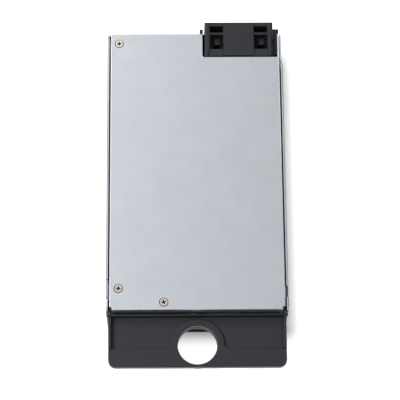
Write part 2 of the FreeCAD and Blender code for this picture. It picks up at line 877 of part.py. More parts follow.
def inlet_housing():
    w = inlet_flange_width / 2
    h = inlet_flange_height / 2
    mouth = bezel_face - inlet_flange_thickness
    flange = block(inlet_x - w, inlet_x + w, mouth, bezel_face, inlet_z - h, inlet_z + h)
    flange = chamfer_edges(flange, inlet_flange_step, lambda e: runs_along(e, "y"))
    w = inlet_body_width / 2
    h = inlet_body_height / 2
    body = block(inlet_x - w, inlet_x + w, bezel_face, inlet_back, inlet_z - h, inlet_z + h)
    body = chamfer_edges(body, inlet_flange_step / 2, lambda e: runs_along(e, "y"))
    holes = []
    for x, z in inlet_pin_places():
        tw = inlet_pin_thickness / 2 + screw_fit
        th = inlet_pin_height / 2 + screw_fit
        holes.append(block(inlet_x + x - tw, inlet_x + x + tw, bezel_face,
                           bezel_face + inlet_body_depth + past,
                           inlet_z + z - th, inlet_z + z + th))
    return flange.fuse(body).cut([inlet_cavity()] + holes)


def inlet_pins():
    """Flat pins; behind the housing each one turns down to the board."""
    start = bezel_face - inlet_flange_thickness + inlet_pin_setback
    pins = []
    for x, z in inlet_pin_places():
        t = inlet_pin_thickness / 2
        h = inlet_pin_height / 2
        pin = block(inlet_x + x - t, inlet_x + x + t, start, inlet_back + 2 * inlet_tail,
                    inlet_z + z - h, inlet_z + z + h)
        pin = chamfer_edges(pin, t / 2, lambda e: e.CenterOfMass.y < start + 0.01)
        tail = block(inlet_x + x - t / 2, inlet_x + x + t / 2, inlet_back + inlet_tail,
                     inlet_back + 2 * inlet_tail, board_bottom - inlet_tail, inlet_z + z)
        pins.append(pin.fuse(tail))
    return group(pins)


# Fan

def fan_frame():
    """A square frame round the duct; four struts carry the motor's base and bearing tube."""
    low = fan_z - fan_size / 2
    left = fan_x - fan_size / 2
    body = block(left, left + fan_size, fan_front, fan_rear, low, low + fan_size)
    body = chamfer_edges(body, fan_corner, lambda e: runs_along(e, "y"))
    duct = stud(fan_duct_radius, fan_x, fan_front - past, fan_z, V(0, fan_depth + 2 * past, 0),
                sides=duct_sides)
    strut = block(fan_x + hub_base_radius / 2, fan_x + fan_duct_radius + past / 2, fan_front,
                  fan_front + strut_depth, fan_z - strut_width / 2, fan_z + strut_width / 2)
    struts = [about(strut, fan_x, fan_z, 45 + k * 360 / strut_count) for k in range(strut_count)]
    base = stud(hub_base_radius, fan_x, fan_front, fan_z, V(0, hub_base_thickness, 0),
                sides=duct_sides)
    tube = stud(tube_radius, fan_x, fan_front, fan_z, V(0, hub_base_thickness + tube_length, 0),
                sides=tube_sides)
    frame = body.cut(duct).fuse(struts + [base, tube])
    bore = stud(bearing_radius + bearing_fit, fan_x, fan_front + hub_base_thickness, fan_z,
                V(0, tube_length + past, 0), sides=tube_sides)
    pitch = fan_screw_pitch / 2
    holes = [stud(fan_screw_radius + fan_screw_fit, fan_x + sx * pitch, fan_front - past,
                  fan_z + sz * pitch, V(0, fan_depth + 2 * past, 0))
             for sx in (-1, 1) for sz in (-1, 1)]
    return frame.cut([bore] + holes)


def bearing_ends():
    """Front face of each of the two bearings in the fan's tube."""
    start = fan_front + hub_base_thickness
    return [start, start + tube_length - bearing_width]


def fan_bearings():
    rings = []
    for y in bearing_ends():
        outer = stud(bearing_radius, fan_x, y, fan_z, V(0, bearing_width, 0), sides=tube_sides)
        bore = stud((shaft_radius + shaft_fit) / math.cos(math.pi / tube_sides), fan_x, y - past,
                    fan_z, V(0, bearing_width + 2 * past, 0), sides=tube_sides)
        rings.append(outer.cut(bore))
    return group(rings)


def fan_stator():
    """Laminated core and its windings round the bearing tube, with four pole gaps."""
    start = fan_front + hub_base_thickness + (tube_length - stator_length) / 2
    core = stud(stator_radius, fan_x, start, fan_z, V(0, stator_length, 0), sides=duct_sides)
    bore = stud(tube_radius + bearing_fit, fan_x, start - past, fan_z,
                V(0, stator_length + 2 * past, 0), sides=tube_sides)
    slot = block(fan_x + tube_radius + past, fan_x + stator_radius + past, start - past,
                 start + stator_length + past, fan_z - stator_pole_slot / 2,
                 fan_z + stator_pole_slot / 2)
    slots = [about(slot, fan_x, fan_z, k * 90) for k in range(4)]
    return core.cut([bore] + slots)


def blade_section(share):
    """Corners of the blade's section at a share of the way from its root to past its tip."""
    inner = hub_radius - hub_wall / 2 - past
    radius = inner + share * (fan_duct_radius - inner)
    chord = root_chord + share * (tip_chord - root_chord)
    lean = math.radians(root_stagger + share * (tip_stagger - root_stagger))
    run = V(0, math.cos(lean), math.sin(lean))
    side = V(0, -math.sin(lean), math.cos(lean))
    centre = V(fan_x + radius, hub_start() + hub_length / 2, fan_z)
    spine = []
    for k in range(blade_steps + 1):
        along = 2 * k / blade_steps - 1
        spine.append(centre + run * (along * chord / 2) + side * (blade_bow * (1 - along ** 2)))
    skin = side * (blade_sheet / 2)
    return [p + skin for p in spine] + [p - skin for p in reversed(spine)]


def twisted_blade():
    """A bowed and twisted blade whose skin is made of flat facets."""
    return skin_between([blade_section(k / blade_spans) for k in range(blade_spans + 1)])


def hub_start():
    return fan_front + hub_base_thickness + hub_gap


def fan_rotor():
    start = hub_start()
    end = start + hub_length
    cup = stud(hub_radius, fan_x, start, fan_z, V(0, hub_length, 0), sides=duct_sides)
    hollow = stud(hub_radius - hub_wall, fan_x, start - past, fan_z,
                  V(0, hub_length - hub_end + past, 0), sides=duct_sides)
    boss = stud(2 * shaft_radius, fan_x, end - 2 * hub_end, fan_z, V(0, 1.5 * hub_end, 0),
                sides=tube_sides)
    tip = fan_duct_radius - blade_tip_gap
    reach = stud(tip, fan_x, start, fan_z, V(0, hub_length, 0), sides=duct_sides)
    core = stud(hub_radius - hub_wall / 2, fan_x, start - past, fan_z, V(0, hub_length + 2 * past, 0),
                sides=duct_sides)
    blade = twisted_blade().common(reach).cut(core)
    blades = [about(blade, fan_x, fan_z, k * 360 / blade_count) for k in range(blade_count)]
    rotor = cup.cut(hollow).fuse([boss] + blades)
    seat_hole = rod(shaft_radius, fan_x, start, fan_z, V(0, hub_length - hub_end / 2, 0))
    return rotor.cut(seat_hole)


def fan_shaft():
    foot = fan_front + hub_base_thickness + seat * 2
    end = hub_start() + hub_length - hub_end / 2
    return rod(shaft_radius, fan_x, foot, fan_z, V(0, end - foot, 0))


def fan_screws():
    """The two lower screws; their flat heads lie between bezel and front wall."""
    screws = []
    for side in (-1, 1):
        x = fan_x + side * fan_screw_pitch / 2
        z = fan_z - fan_screw_pitch / 2
        head = stud(fan_screw_radius + fan_screw_head_step, x, wall_face, z,
                    V(0, bezel_back + seat - wall_face, 0), sides=12)
        shank = stud(fan_screw_radius, x, wall_face - seat, z, V(0, fan_screw_length, 0))
        screws.append(head.fuse(shank))
    return group(screws)


# Status light

def status_light():
    start = bezel_face - light_pipe_proud
    return rod(light_pipe_radius, light_pipe_x, start, light_pipe_z,
               V(0, led_face - seat - start, 0))


def status_led():
    return block(light_pipe_x - led_size / 2, light_pipe_x + led_size / 2, led_face,
                 led_face + led_size, board_top, light_pipe_z + led_size / 2)


# Release latch

def latch_arm_sides():
    return latch_pivot_x - latch_thickness / 2, latch_pivot_x + latch_thickness / 2


def release_latch():
    left, right = latch_arm_sides()
    tip = bezel_face - latch_reach
    height = latch_top - latch_bottom
    arm = block(left, right, tip + latch_thickness, latch_pivot_y, latch_bottom, latch_top)
    hub = rod(latch_hub_radius, latch_pivot_x, latch_pivot_y, latch_bottom, V(0, 0, height))
    pad = block(left, left + latch_pad_thickness, tip, tip + latch_pad_length,
                latch_bottom, latch_top)
    pad = chamfer_edges(pad, grip_pitch / 2, lambda e: runs_along(e, "z")
                        and e.CenterOfMass.y < tip + past)
    face = left + latch_pad_thickness
    grips = []
    for k in range(grip_count):
        y = tip + grip_pitch * (k + 1)
        grips.append(prism([(face - past, y, latch_bottom), (face + grip_height, y + grip_pitch / 4,
                           latch_bottom), (face - past, y + grip_pitch / 2, latch_bottom)],
                           V(0, 0, height)))
    catch_rear = latch_pivot_y - catch_from_pivot
    catch_front = catch_rear - catch_length
    nose = half + catch_reach
    catch = prism([(right - past, catch_front, catch_bottom), (nose, catch_front, catch_bottom),
                   (nose, catch_front + catch_reach, catch_bottom),
                   (inside - sheet / 2, catch_rear, catch_bottom),
                   (right - past, catch_rear, catch_bottom)], V(0, 0, catch_top - catch_bottom))
    lever = arm.fuse([hub, pad, catch] + grips)
    bore = rod(latch_pin_radius + latch_pin_fit, latch_pivot_x, latch_pivot_y, latch_bottom - past,
               V(0, 0, height + 2 * past))
    return lever.cut(bore).removeSplitter()


def latch_pin():
    foot = latch_bottom - latch_seat_gap
    shoulder = stud(latch_shoulder_radius, latch_pivot_x, latch_pivot_y, sheet, V(0, 0, foot - sheet),
                    sides=tube_sides)
    top = latch_top + latch_seat_gap + 2 * clip_thickness
    pin = rod(latch_pin_radius, latch_pivot_x, latch_pivot_y, foot, V(0, 0, top - foot))
    return shoulder.fuse(pin)


def latch_clip():
    z = latch_top + latch_seat_gap
    outer = stud(clip_radius, latch_pivot_x, latch_pivot_y, z, V(0, 0, clip_thickness),
                 sides=tube_sides)
    bore = rod(latch_pin_radius, latch_pivot_x, latch_pivot_y, z - past,
               V(0, 0, clip_thickness + 2 * past))
    mouth = block(latch_pivot_x - clip_radius - past, latch_pivot_x, latch_pivot_y - latch_pin_radius
                  * 0.8, latch_pivot_y + latch_pin_radius * 0.8, z - past, z + clip_thickness + past)
    return outer.cut([bore, mouth])


def latch_spring():
    """A leaf that lies on the front wall's tab and arches over to the latch arm."""
    left, _ = latch_arm_sides()
    x = spring_anchor_x + seat
    start = wall_back + seat
    bend = start + spring_tab_length - spring_radius
    height = spring_top - spring_bottom
    centre_x = x + spring_sheet + spring_radius
    tail = block(x, x + spring_sheet, start, bend, spring_bottom, spring_top)
    outer = rod(spring_radius + spring_sheet, centre_x, bend, spring_bottom, V(0, 0, height))
    inner = rod(spring_radius, centre_x, bend, spring_bottom - past, V(0, 0, height + 2 * past))
    quarter = block(x - past, centre_x, bend, bend + spring_radius + past,
                    spring_bottom, spring_top)
    arch = outer.cut(inner).common(quarter)
    tip = block(centre_x, left - spring_gap, bend + spring_radius, bend + spring_radius
                + spring_sheet, spring_bottom, spring_top)
    return tail.fuse([arch, tip]).removeSplitter()


# Main board

def standoff_places():
    far = board_half - standoff_inset
    front_row = board_front + standoff_inset
    rear_row = board_rear - standoff_inset
    return [(-far, front_row), (far, front_row), (-far, 0.0), (far, 0.0), (-far, rear_row),
            (0.0, rear_row)]


def hex_post(corner, x, y, z0, z1):
    """An upright hexagonal prism, by the radius to its corners."""
    turns = [math.radians(60 * k) for k in range(6)]
    points = [(x + corner * math.cos(a), y + corner * math.sin(a), z0) for a in turns]
    return prism(points, V(0, 0, z1 - z0))


def board_outline(z0, z1, grow=0.0):
    main = block(-board_half - grow, board_half + grow, board_front - grow, board_rear + grow,
                 z0, z1)
    tongue = block(-board_half - grow, board_tongue_right + grow, board_tongue_front - grow,
                   board_front, z0, z1)
    return main.fuse(tongue).removeSplitter()


def main_board():
    board = board_outline(board_bottom, board_top)
    holes = [stud(board_screw_radius + screw_fit, x, y, board_bottom - past,
                  V(0, 0, board_thickness + 2 * past)) for x, y in standoff_places()]
    return board.cut(holes + lead_holes())


def lead_holes():
    """Holes for the inlet's three tails."""
    t = inlet_pin_thickness / 4 + standoff_hole_fit
    return [block(inlet_x + x - t, inlet_x + x + t, inlet_back + inlet_tail - standoff_hole_fit,
                  inlet_back + 2 * inlet_tail + standoff_hole_fit, board_bottom - past,
                  board_top + past) for x, z in inlet_pin_places()]


def insulator_sheet():
    sheet_solid = board_outline(sheet, sheet + insulator_thickness, grow=part_gap)
    return sheet_solid.cut([hex_post(standoff_radius + standoff_hole_fit, x, y, 0, sheet + past)
                            for x, y in standoff_places()])


def board_standoffs():
    posts = []
    for x, y in standoff_places():
        post = hex_post(standoff_radius, x, y, sheet, board_bottom)
        posts.append(post.cut(stud(board_screw_radius + screw_fit, x, y, sheet + past,
                                   V(0, 0, board_bottom - sheet))))
    return group(posts)


def board_screws():
    screws = []
    for x, y in standoff_places():
        head = hex_post(board_screw_head, x, y, board_top, board_top + board_screw_head_height)
        shank = stud(board_screw_radius, x, y, board_bottom - board_screw_depth,
                     V(0, 0, board_thickness + board_screw_depth + past))
        screws.append(head.fuse(shank))
    return group(screws)


# Output connector

def window_spans():
    """Y range of the short and the long window on the connector's top."""
    short_rear = connector_rear - window_from_rear
    short_front = short_rear - window_short
    long_rear = short_front - window_rib
    return (short_front, short_rear), (long_rear - window_long, long_rear)


def blade_slot_places():
    return [connector_x + side * window_spread + step * blade_slot_pitch / 2
            for side in (-1, 1) for step in (-1, 1)]


def blade_slot_foot():
    return connector_top - window_depth - blade_slot_height - 2 * blade_margin


def output_connector():
    body = block(connector_left, connector_right, connector_front, connector_rear, board_top,
                 connector_top)
    body = round_edges(body, connector_edge_break,
                       lambda e: runs_along(e, "y") and e.CenterOfMass.z > connector_top - 0.01)
    body = body.fuse(connector_ears() + connector_side_rail())
    return body.cut(connector_windows() + connector_sockets())


def connector_windows():
    cuts = []
    (short_front, short_rear), (long_front, long_rear) = window_spans()
    for side in (-1, 1):
        middle = connector_x + side * window_spread
        left = middle - window_width / 2
        right = middle + window_width / 2
        floor = connector_top - window_depth
        well = block(left, right, long_front, short_rear, floor, connector_top - window_rib_height)
        step_x = middle + window_step_shift
        step_y = (long_front + long_rear) / 2 - window_step_shift
        step = block(step_x - window_step[0] / 2, step_x + window_step[0] / 2,
                     step_y - window_step[1] / 2, step_y + window_step[1] / 2, floor - past,
                     floor + window_step_rise)
        cuts.append(well.cut(step))
        for y0, y1 in ((short_front, short_rear), (long_front, long_rear)):
            cuts.append(block(left, right, y0, y1, connector_top - window_rib_height - past / 2,
                              connector_top + past).cut(step))
    return cuts


def connector_sockets():
    middle_z = (board_top + connector_top) / 2
    w = socket_width / 2
    h = socket_height / 2
    cuts = [rounded_plate(connector_x - w, connector_x + w, connector_rear - socket_depth,
                          connector_rear + past, middle_z - h, middle_z + h, 1.0, axis="y")]
    foot = blade_slot_foot()
    for x in blade_slot_places():
        cuts.append(block(x - blade_slot_width / 2, x + blade_slot_width / 2,
                          connector_rear - blade_slot_depth, connector_rear + past, foot,
                          foot + blade_slot_height))
        cuts.append(block(x - blade_thickness / 2 - screw_fit, x + blade_thickness / 2 + screw_fit,
                          connector_front - past, connector_rear - blade_slot_depth + past,
                          foot + 2 * blade_margin, foot + blade_slot_height - 2 * blade_margin))
    for x, z in signal_places():
        r = signal_pin / 2 + screw_fit
        cuts.append(block(x - r, x + r, connector_front - past, connector_rear - socket_depth + past,
                          z - r, z + r))
    return cuts


def signal_places():
    middle_z = (board_top + connector_top) / 2
    return [(connector_x + (column - (signal_columns - 1) / 2) * signal_pitch,
             middle_z + (row - (signal_rows - 1) / 2) * signal_pitch)
            for column in range(signal_columns) for row in range(signal_rows)]


def connector_ears():
    """Two guide ears that reach out through the rear wall, left and right of the body."""
    right_edge = connector_left - ear_gap
    left_edge = right_edge - ear_width
    inner = rear - sheet - ear_root
    ear = block(left_edge, right_edge, inner, rear + ear_reach, ear_foot, ear_top)
    bridge = block(left_edge, connector_left + past, inner, rear - sheet - hook_clearance, ear_foot,
                   ear_top - ear_foot / 2)
    right = block(connector_right - past, connector_right + right_ear_width,
                  rear - sheet + hook_clearance, rear + ear_reach, ear_foot, ear_top)
    return [ear, bridge, right]


def connector_side_rail():
    """A stepped rail along the right flank, with two upright ribs."""
    outer = lid_half - sheet - 2 * hook_clearance
    rail_rear = rear - sheet - hook_clearance
    rail_top = ear_top - rail_drop
    rail = block(connector_right - past, outer, connector_front + past, rail_rear, board_top,
                 rail_top)
    ribs = [block(x, x + rail_rib, connector_front + past, rail_rear, rail_top - rail_rib,
                  connector_top - past) for x in (connector_right + rail_rib, outer - rail_rib)]
    return [rail] + ribs


def power_contacts():
    """Copper blades that stand in the connector's slots and run back to the busbars."""
    foot = blade_slot_foot()
    blades = []
    for x in blade_slot_places():
        mate = block(x - blade_thickness / 2, x + blade_thickness / 2,
                     connector_rear - blade_slot_depth, connector_rear - contact_setback,
                     foot + blade_margin, foot + blade_slot_height - blade_margin)
        tail = block(x - blade_thickness / 2, x + blade_thickness / 2, connector_front - blade_tail,
                     connector_rear - blade_slot_depth + past, foot + 2 * blade_margin + screw_fit,
                     foot + blade_slot_height - 2 * blade_margin - screw_fit)
        blades.append(mate.fuse(tail).removeSplitter())
    return group(blades)


def signal_contacts():
    """Square pins in the middle socket; their tails stop behind the body."""
    r = signal_pin / 2
    return group([block(x - r, x + r, connector_front - pin_tail,
                        connector_rear - contact_setback, z - r, z + r)
                  for x, z in signal_places()])


# Power train on the main board

def line_fuse():
    x = -board_half + fuse_inset
    y = board_tongue_front + fuse_from_tongue
    z = board_top + fuse_radius + 2 * fuse_cap_step
    tube = stud(fuse_radius, x, y, z, V(fuse_length, 0, 0), sides=16)
    starts = (x, x + fuse_length - fuse_cap_length)
    caps = [stud(fuse_radius + fuse_cap_step, start, y, z, V(fuse_cap_length, 0, 0), sides=16)
            for start in starts]
    feet = [block(start + part_gap / 2, start + fuse_cap_length - part_gap / 2, y - part_gap,
                  y + part_gap, board_top, z) for start in starts]
    return tube.fuse(caps + feet)


def choke_places():
    return [(line_choke_x, choke_y), (line_choke_x + choke_width + choke_gap, choke_y)]


def line_chokes():
    """Square ferrite frames of the two line filter chokes."""
    foot = board_top + choke_lift
    frames = []
    for x, y in choke_places():
        outer = block(x - choke_width / 2, x + choke_width / 2, y - choke_depth / 2,
                      y + choke_depth / 2, foot, foot + choke_height)
        window = block(x - choke_width / 2 + choke_leg, x + choke_width / 2 - choke_leg,
                       y - choke_depth / 2 + choke_leg, y + choke_depth / 2 - choke_leg,
                       foot - past, foot + choke_height + past)
        outer = chamfer_edges(outer, choke_leg / 3, lambda e: runs_along(e, "z"))
        frames.append(outer.cut(window))
    return group(frames)


def line_choke_windings():
    """A bobbin with its winding on each long leg, standing on the board."""
    foot = board_top + choke_lift
    half_length = choke_width / 2 - choke_leg - 4 * seat
    half_leg = choke_leg / 2
    coils = []
    for x, y in choke_places():
        for side in (-1, 1):
            middle = y + side * (choke_depth - choke_leg) / 2
            coil = block(x - half_length, x + half_length, middle - half_leg - choke_coil,
                         middle + half_leg + choke_coil, foot - 2 * choke_coil,
                         foot + choke_height + 2 * choke_coil)
            coil = chamfer_edges(coil, choke_coil, lambda e: runs_along(e, "x"))
            stand = block(x - choke_leg, x + choke_leg, middle - part_gap, middle + part_gap,
                          board_top, foot - choke_coil)
            leg = block(x - choke_width, x + choke_width, middle - half_leg - seat,
                        middle + half_leg + seat, foot - seat, foot + choke_height + seat)
            coils.append(coil.fuse(stand).cut(leg))
    return group(coils)


def boxed_part(x, y, size, edge=1.0):
    """A box-shaped component on the board, from its corner x, y, with broken upright edges."""
    width, depth, height = size
    box = block(x, x + width, y, y + depth, board_top + seat, board_top + height)
    return chamfer_edges(box, edge, lambda e: runs_along(e, "z"))


def x_capacitors():
    line = boxed_part(board_tongue_right - part_gap - line_capacitor_size[0],
                      board_tongue_front + fuse_from_tongue - line_capacitor_size[1] / 2,
                      line_capacitor_size)
    after_choke = boxed_part(filter_x, board_front + choke_from_front, filter_capacitor_size)
    return group([line, after_choke])


def y_capacitors():
    discs = []
    z = board_top + disc_radius + part_gap
    for k in (1, 2):
        x = relay_x + disc_pitch * (k - 0.5)
        disc = stud(disc_radius, x, disc_y - disc_thickness / 2, z, V(0, disc_thickness, 0),
                    sides=16)
        legs = [block(x + dx - lead_radius, x + dx + lead_radius, disc_y - lead_radius,
                      disc_y + lead_radius, board_top, z)
                for dx in (-disc_radius / 2, disc_radius / 2)]
        discs.append(disc.fuse(legs))
    return group(discs)


def relay():
    return boxed_part(relay_x, board_front + relay_from_front, relay_size)


def bridge_rectifier():
    """The line rectifier against the primary heatsink's left face, with four legs."""
    x = heatsink_x - heatsink_plate / 2 - seat
    y = primary_front + part_gap / 2
    foot = board_top + choke_lift
    body = block(x - package_thickness, x, y, y + bridge_width, foot, foot + bridge_width)
    pitch = bridge_width / 4
    legs = [block(x - 3 * part_gap, x - 2 * part_gap, y + pitch * (k + 0.4), y + pitch * (k + 0.6),
                  board_top, foot + seat) for k in range(4)]
    return body.fuse(legs)


def bulk_capacitor():
    """The large can, lying along the board, with its pressed groove and bevelled rim."""
    z = board_top + bulk_radius + seat
    can = stud(bulk_radius, bulk_x, bulk_y, z, V(0, bulk_length, 0), sides=can_sides)
    can = chamfer_edges(can, bulk_rim, lambda e: not runs_along(e, "y")
                        and e.CenterOfMass.y > bulk_y + bulk_length - 0.01)
    groove_y = bulk_y + 3 * bulk_rim
    groove_outer = rod(bulk_radius + past, bulk_x, groove_y, z, V(0, bulk_rim, 0))
    groove_inner = stud(bulk_radius - bulk_groove, bulk_x, groove_y - past, z,
                        V(0, bulk_rim + 2 * past, 0), sides=can_sides)
    can = can.cut(groove_outer.cut(groove_inner))
    legs = [block(bulk_x + side * bulk_radius / 3 - part_gap / 2,
                  bulk_x + side * bulk_radius / 3 + part_gap / 2, bulk_y - part_gap,
                  bulk_y + part_gap, board_top, z) for side in (-1, 1)]
    return can.fuse(legs)


def boost_choke_core():
    """Powder-iron ring, lying flat above the board."""
    z = board_top + wire + seat
    ring = stud(toroid_radius, toroid_x, toroid_y, z, V(0, 0, toroid_height), sides=40)
    hole = stud(toroid_hole, toroid_x, toroid_y, z - past, V(0, 0, toroid_height + 2 * past),
                sides=24)
    return ring.cut(hole)


def boost_choke_winding():
    """Single-layer winding: one square loop of wire round the ring for each turn."""
    z = board_top + seat
    outer = block(toroid_x + toroid_hole - wire - seat, toroid_x + toroid_radius + wire + seat,
                  toroid_y - wire / 2, toroid_y + wire / 2, z - seat,
                  z + toroid_height + 2 * wire + seat)
    inner = block(toroid_x + toroid_hole - 2 * seat, toroid_x + toroid_radius + 2 * seat,
                  toroid_y - wire, toroid_y + wire, z + wire - 2 * seat,
                  z + wire + toroid_height + 2 * seat)
    loop = outer.cut(inner)
    loops = []
    for k in range(turn_count):
        turn = loop.copy()
        turn.rotate(V(toroid_x, toroid_y, 0), V(0, 0, 1),
                    turn_start + k * (360 - 2 * turn_start) / (turn_count - 1))
        loops.append(turn)
    return group(loops)


def finned_heatsink(y0, y1):
    """An extruded plate with fins towards +X, standing on the board."""
    x = heatsink_x - heatsink_plate / 2
    plate = block(x, x + heatsink_plate, y0, y1, board_top + heatsink_lift, heatsink_top)
    fins = []
    for k in range(heatsink_fins):
        z = heatsink_top - fin_sheet - k * fin_pitch
        fins.append(block(heatsink_x, board_half - part_gap, y0, y1, z, z + fin_sheet))
    feet = [block(x, x + heatsink_plate, y, y + heatsink_plate, board_top,
                  board_top + heatsink_lift + seat) for y in (y0, y1 - heatsink_plate)]
    return plate.fuse(fins + feet).removeSplitter()


def primary_heatsink():
    return finned_heatsink(primary_front, primary_front + primary_length)


def secondary_heatsink():
    return finned_heatsink(secondary_front, secondary_rear)


def power_package(y):
    """A flat transistor package against the heatsink's left face, with three legs."""
    x = heatsink_x - heatsink_plate / 2 - seat
    foot = board_top + package_lift
    body = block(x - package_thickness, x, y, y + package_width, foot, foot + package_height)
    hole = stud(screw_radius, x - package_thickness - past, y + package_width / 2,
                foot + 0.8 * package_height, V(package_thickness + 2 * past, 0, 0))
    pitch = package_width / 3
    legs = [block(x - 3 * part_gap, x - 2 * part_gap, y + pitch * (k + 0.3), y + pitch * (k + 0.7),
                  board_top, foot + seat) for k in range(3)]
    return body.cut(hole).fuse(legs)


def power_transistors():
    first = primary_front + part_gap / 2 + bridge_width + package_gap
    return group([power_package(first), power_package(first + package_width + package_gap)])


def rectifier_transistors():
    first = secondary_front + part_gap
    return group([power_package(first), power_package(first + package_width + package_gap)])


def transformer_core():
    """The outer ferrite frame of the main transformer, with its middle leg."""
    outer = block(core_x - core_half_x, core_x + core_half_x, core_y - core_half_y,
                  core_y + core_half_y, core_foot, core_top)
    outer = chamfer_edges(outer, core_corner, lambda e: runs_along(e, "z"))
    cuts = []
    for side in (-1, 1):
        x0, x1 = sorted((core_x + side * core_middle_leg,
                         core_x + side * (core_half_x - core_side_leg)))
        cuts.append(block(x0, x1, core_y - core_half_y - past, core_y + core_half_y + past,
                          core_foot + core_back, core_top - core_back))
    return outer.cut(cuts)


def transformer_winding():
    """Bobbin and windings round the core's middle leg, standing on the board."""
    low = core_foot + core_back + seat
    high = core_top - core_back - seat
    w = core_half_x - core_side_leg - seat
    reach = core_half_y + winding_overhang
    wound = block(core_x - w, core_x + w, core_y - reach, core_y + reach, low, high)
    wound = chamfer_edges(wound, core_corner, lambda e: runs_along(e, "z"))
    leg = block(core_x - core_middle_leg - seat, core_x + core_middle_leg + seat,
                core_y - core_half_y - seat, core_y + core_half_y + seat, low - past, high + past)
    feet = [block(core_x - w + core_corner, core_x + w - core_corner, y - part_gap, y + part_gap,
                  board_top, low + past)
            for y in (core_y - core_half_y - winding_overhang / 2,
                      core_y + core_half_y + winding_overhang / 2)]
    return wound.cut(leg).fuse(feet)


def output_choke():
    """A moulded block choke with its two flat copper ends."""
    x = -board_half + bulk_inset
    width, depth, height = output_choke_size
    body = block(x, x + width, output_choke_y, output_choke_y + depth, board_top + part_gap,
                 board_top + part_gap + height)
    body = chamfer_edges(body, part_gap, lambda e: runs_along(e, "z"))
    feet = [block(x + width / 3, x + 2 * width / 3, y - part_gap, y + part_gap, board_top,
                  board_top + height / 3) for y in (output_choke_y, output_choke_y + depth)]
    return body.fuse(feet)


def output_capacitors():
    cans = []
    for from_rear in output_can_rows:
        for column in range(output_can_columns):
            x = -board_half + output_can_inset + column * output_can_pitch
            can = stud(output_can_radius, x, board_rear - from_rear, board_top,
                       V(0, 0, output_can_height), sides=output_can_sides)
            cans.append(chamfer_edges(can, part_gap / 2, lambda e: not runs_along(e, "z")
                                      and e.CenterOfMass.z > board_top + part_gap))
    return group(cans)


def control_board_span():
    front_end = core_y - control_board_length / 3
    return front_end, front_end + control_board_length


def control_board():
    """A small upright board between the transformer and the secondary heatsink."""
    y0, y1 = control_board_span()
    return block(control_board_x, control_board_x + control_board_sheet, y0, y1, board_top,
                 lid_under - control_board_air)


def control_chips():
    y0, _ = control_board_span()
    x = control_board_x + control_board_sheet
    thickness, depth, height = chip_size
    z = board_top + package_lift
    return group([block(x, x + thickness, y, y + depth, z, z + height)
                  for y in (y0 + part_gap + k * chip_pitch for k in range(3))])


def output_busbars():
    """Two copper bars on the board, from the rectifiers to the connector's blades."""
    bars = []
    y1 = connector_front - seat
    y0 = connector_front - busbar_length
    for side in (-1, 1):
        middle = connector_x + side * window_spread
        half_width = blade_slot_pitch / 2 + blade_thickness
        riser_half = (blade_slot_pitch - blade_thickness) / 2 - seat
        foot_plate = block(middle - half_width, middle + half_width, y0, y1, board_top,
                           board_top + busbar_foot)
        riser = block(middle - riser_half, middle + riser_half, y0, y1, board_top,
                      blade_slot_foot() + busbar_rise)
        bars.append(foot_plate.fuse(riser).removeSplitter())
    return group(bars)


pieces = {
    "base_chassis": base_chassis,
    "top_cover": top_cover,
    "cover_screws": cover_screws,
    "front_bezel": front_bezel,
    "bezel_screws": bezel_screws,
    "pull_handle": pull_handle,
    "handle_screws": handle_screws,
    "inlet_housing": inlet_housing,
    "inlet_pins": inlet_pins,
    "fan_frame": fan_frame,
    "fan_rotor": fan_rotor,
    "fan_shaft": fan_shaft,
    "fan_stator": fan_stator,
    "fan_bearings": fan_bearings,
    "fan_screws": fan_screws,
    "status_light": status_light,
    "status_led": status_led,
    "release_latch": release_latch,
    "latch_pin": latch_pin,
    "latch_clip": latch_clip,
    "latch_spring": latch_spring,
    "insulator_sheet": insulator_sheet,
    "main_board": main_board,
    "board_standoffs": board_standoffs,
    "board_screws": board_screws,
    "output_connector": output_connector,
    "power_contacts": power_contacts,
    "signal_contacts": signal_contacts,
    "line_fuse": line_fuse,
    "line_chokes": line_chokes,
    "line_choke_windings": line_choke_windings,
    "x_capacitors": x_capacitors,
    "y_capacitors": y_capacitors,
    "relay": relay,
    "bridge_rectifier": bridge_rectifier,
    "bulk_capacitor": bulk_capacitor,
    "boost_choke_core": boost_choke_core,
    "boost_choke_winding": boost_choke_winding,
    "primary_heatsink": primary_heatsink,
    "power_transistors": power_transistors,
    "transformer_core": transformer_core,
    "transformer_winding": transformer_winding,
    "secondary_heatsink": secondary_heatsink,
    "rectifier_transistors": rectifier_transistors,
    "output_choke": output_choke,
    "output_capacitors": output_capacitors,
    "control_board": control_board,
    "control_chips": control_chips,
    "output_busbars": output_busbars,
}

os.makedirs("parts", exist_ok=True)
for name, make in pieces.items():
    save(name, make())
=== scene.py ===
# %% [markdown]
# # A hot swap server power supply
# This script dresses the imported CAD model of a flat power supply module. The CAD model holds every
# piece at its real size. Blender adds what the eye needs: finishes, soft edges and fine hardware.
# Everything is in metres, in the CAD model's own frame: +Z is up, +Y is the connector end.

# %% Load the frame
import json
import math

import bmesh
import bpy
from mathutils import Matrix, Vector


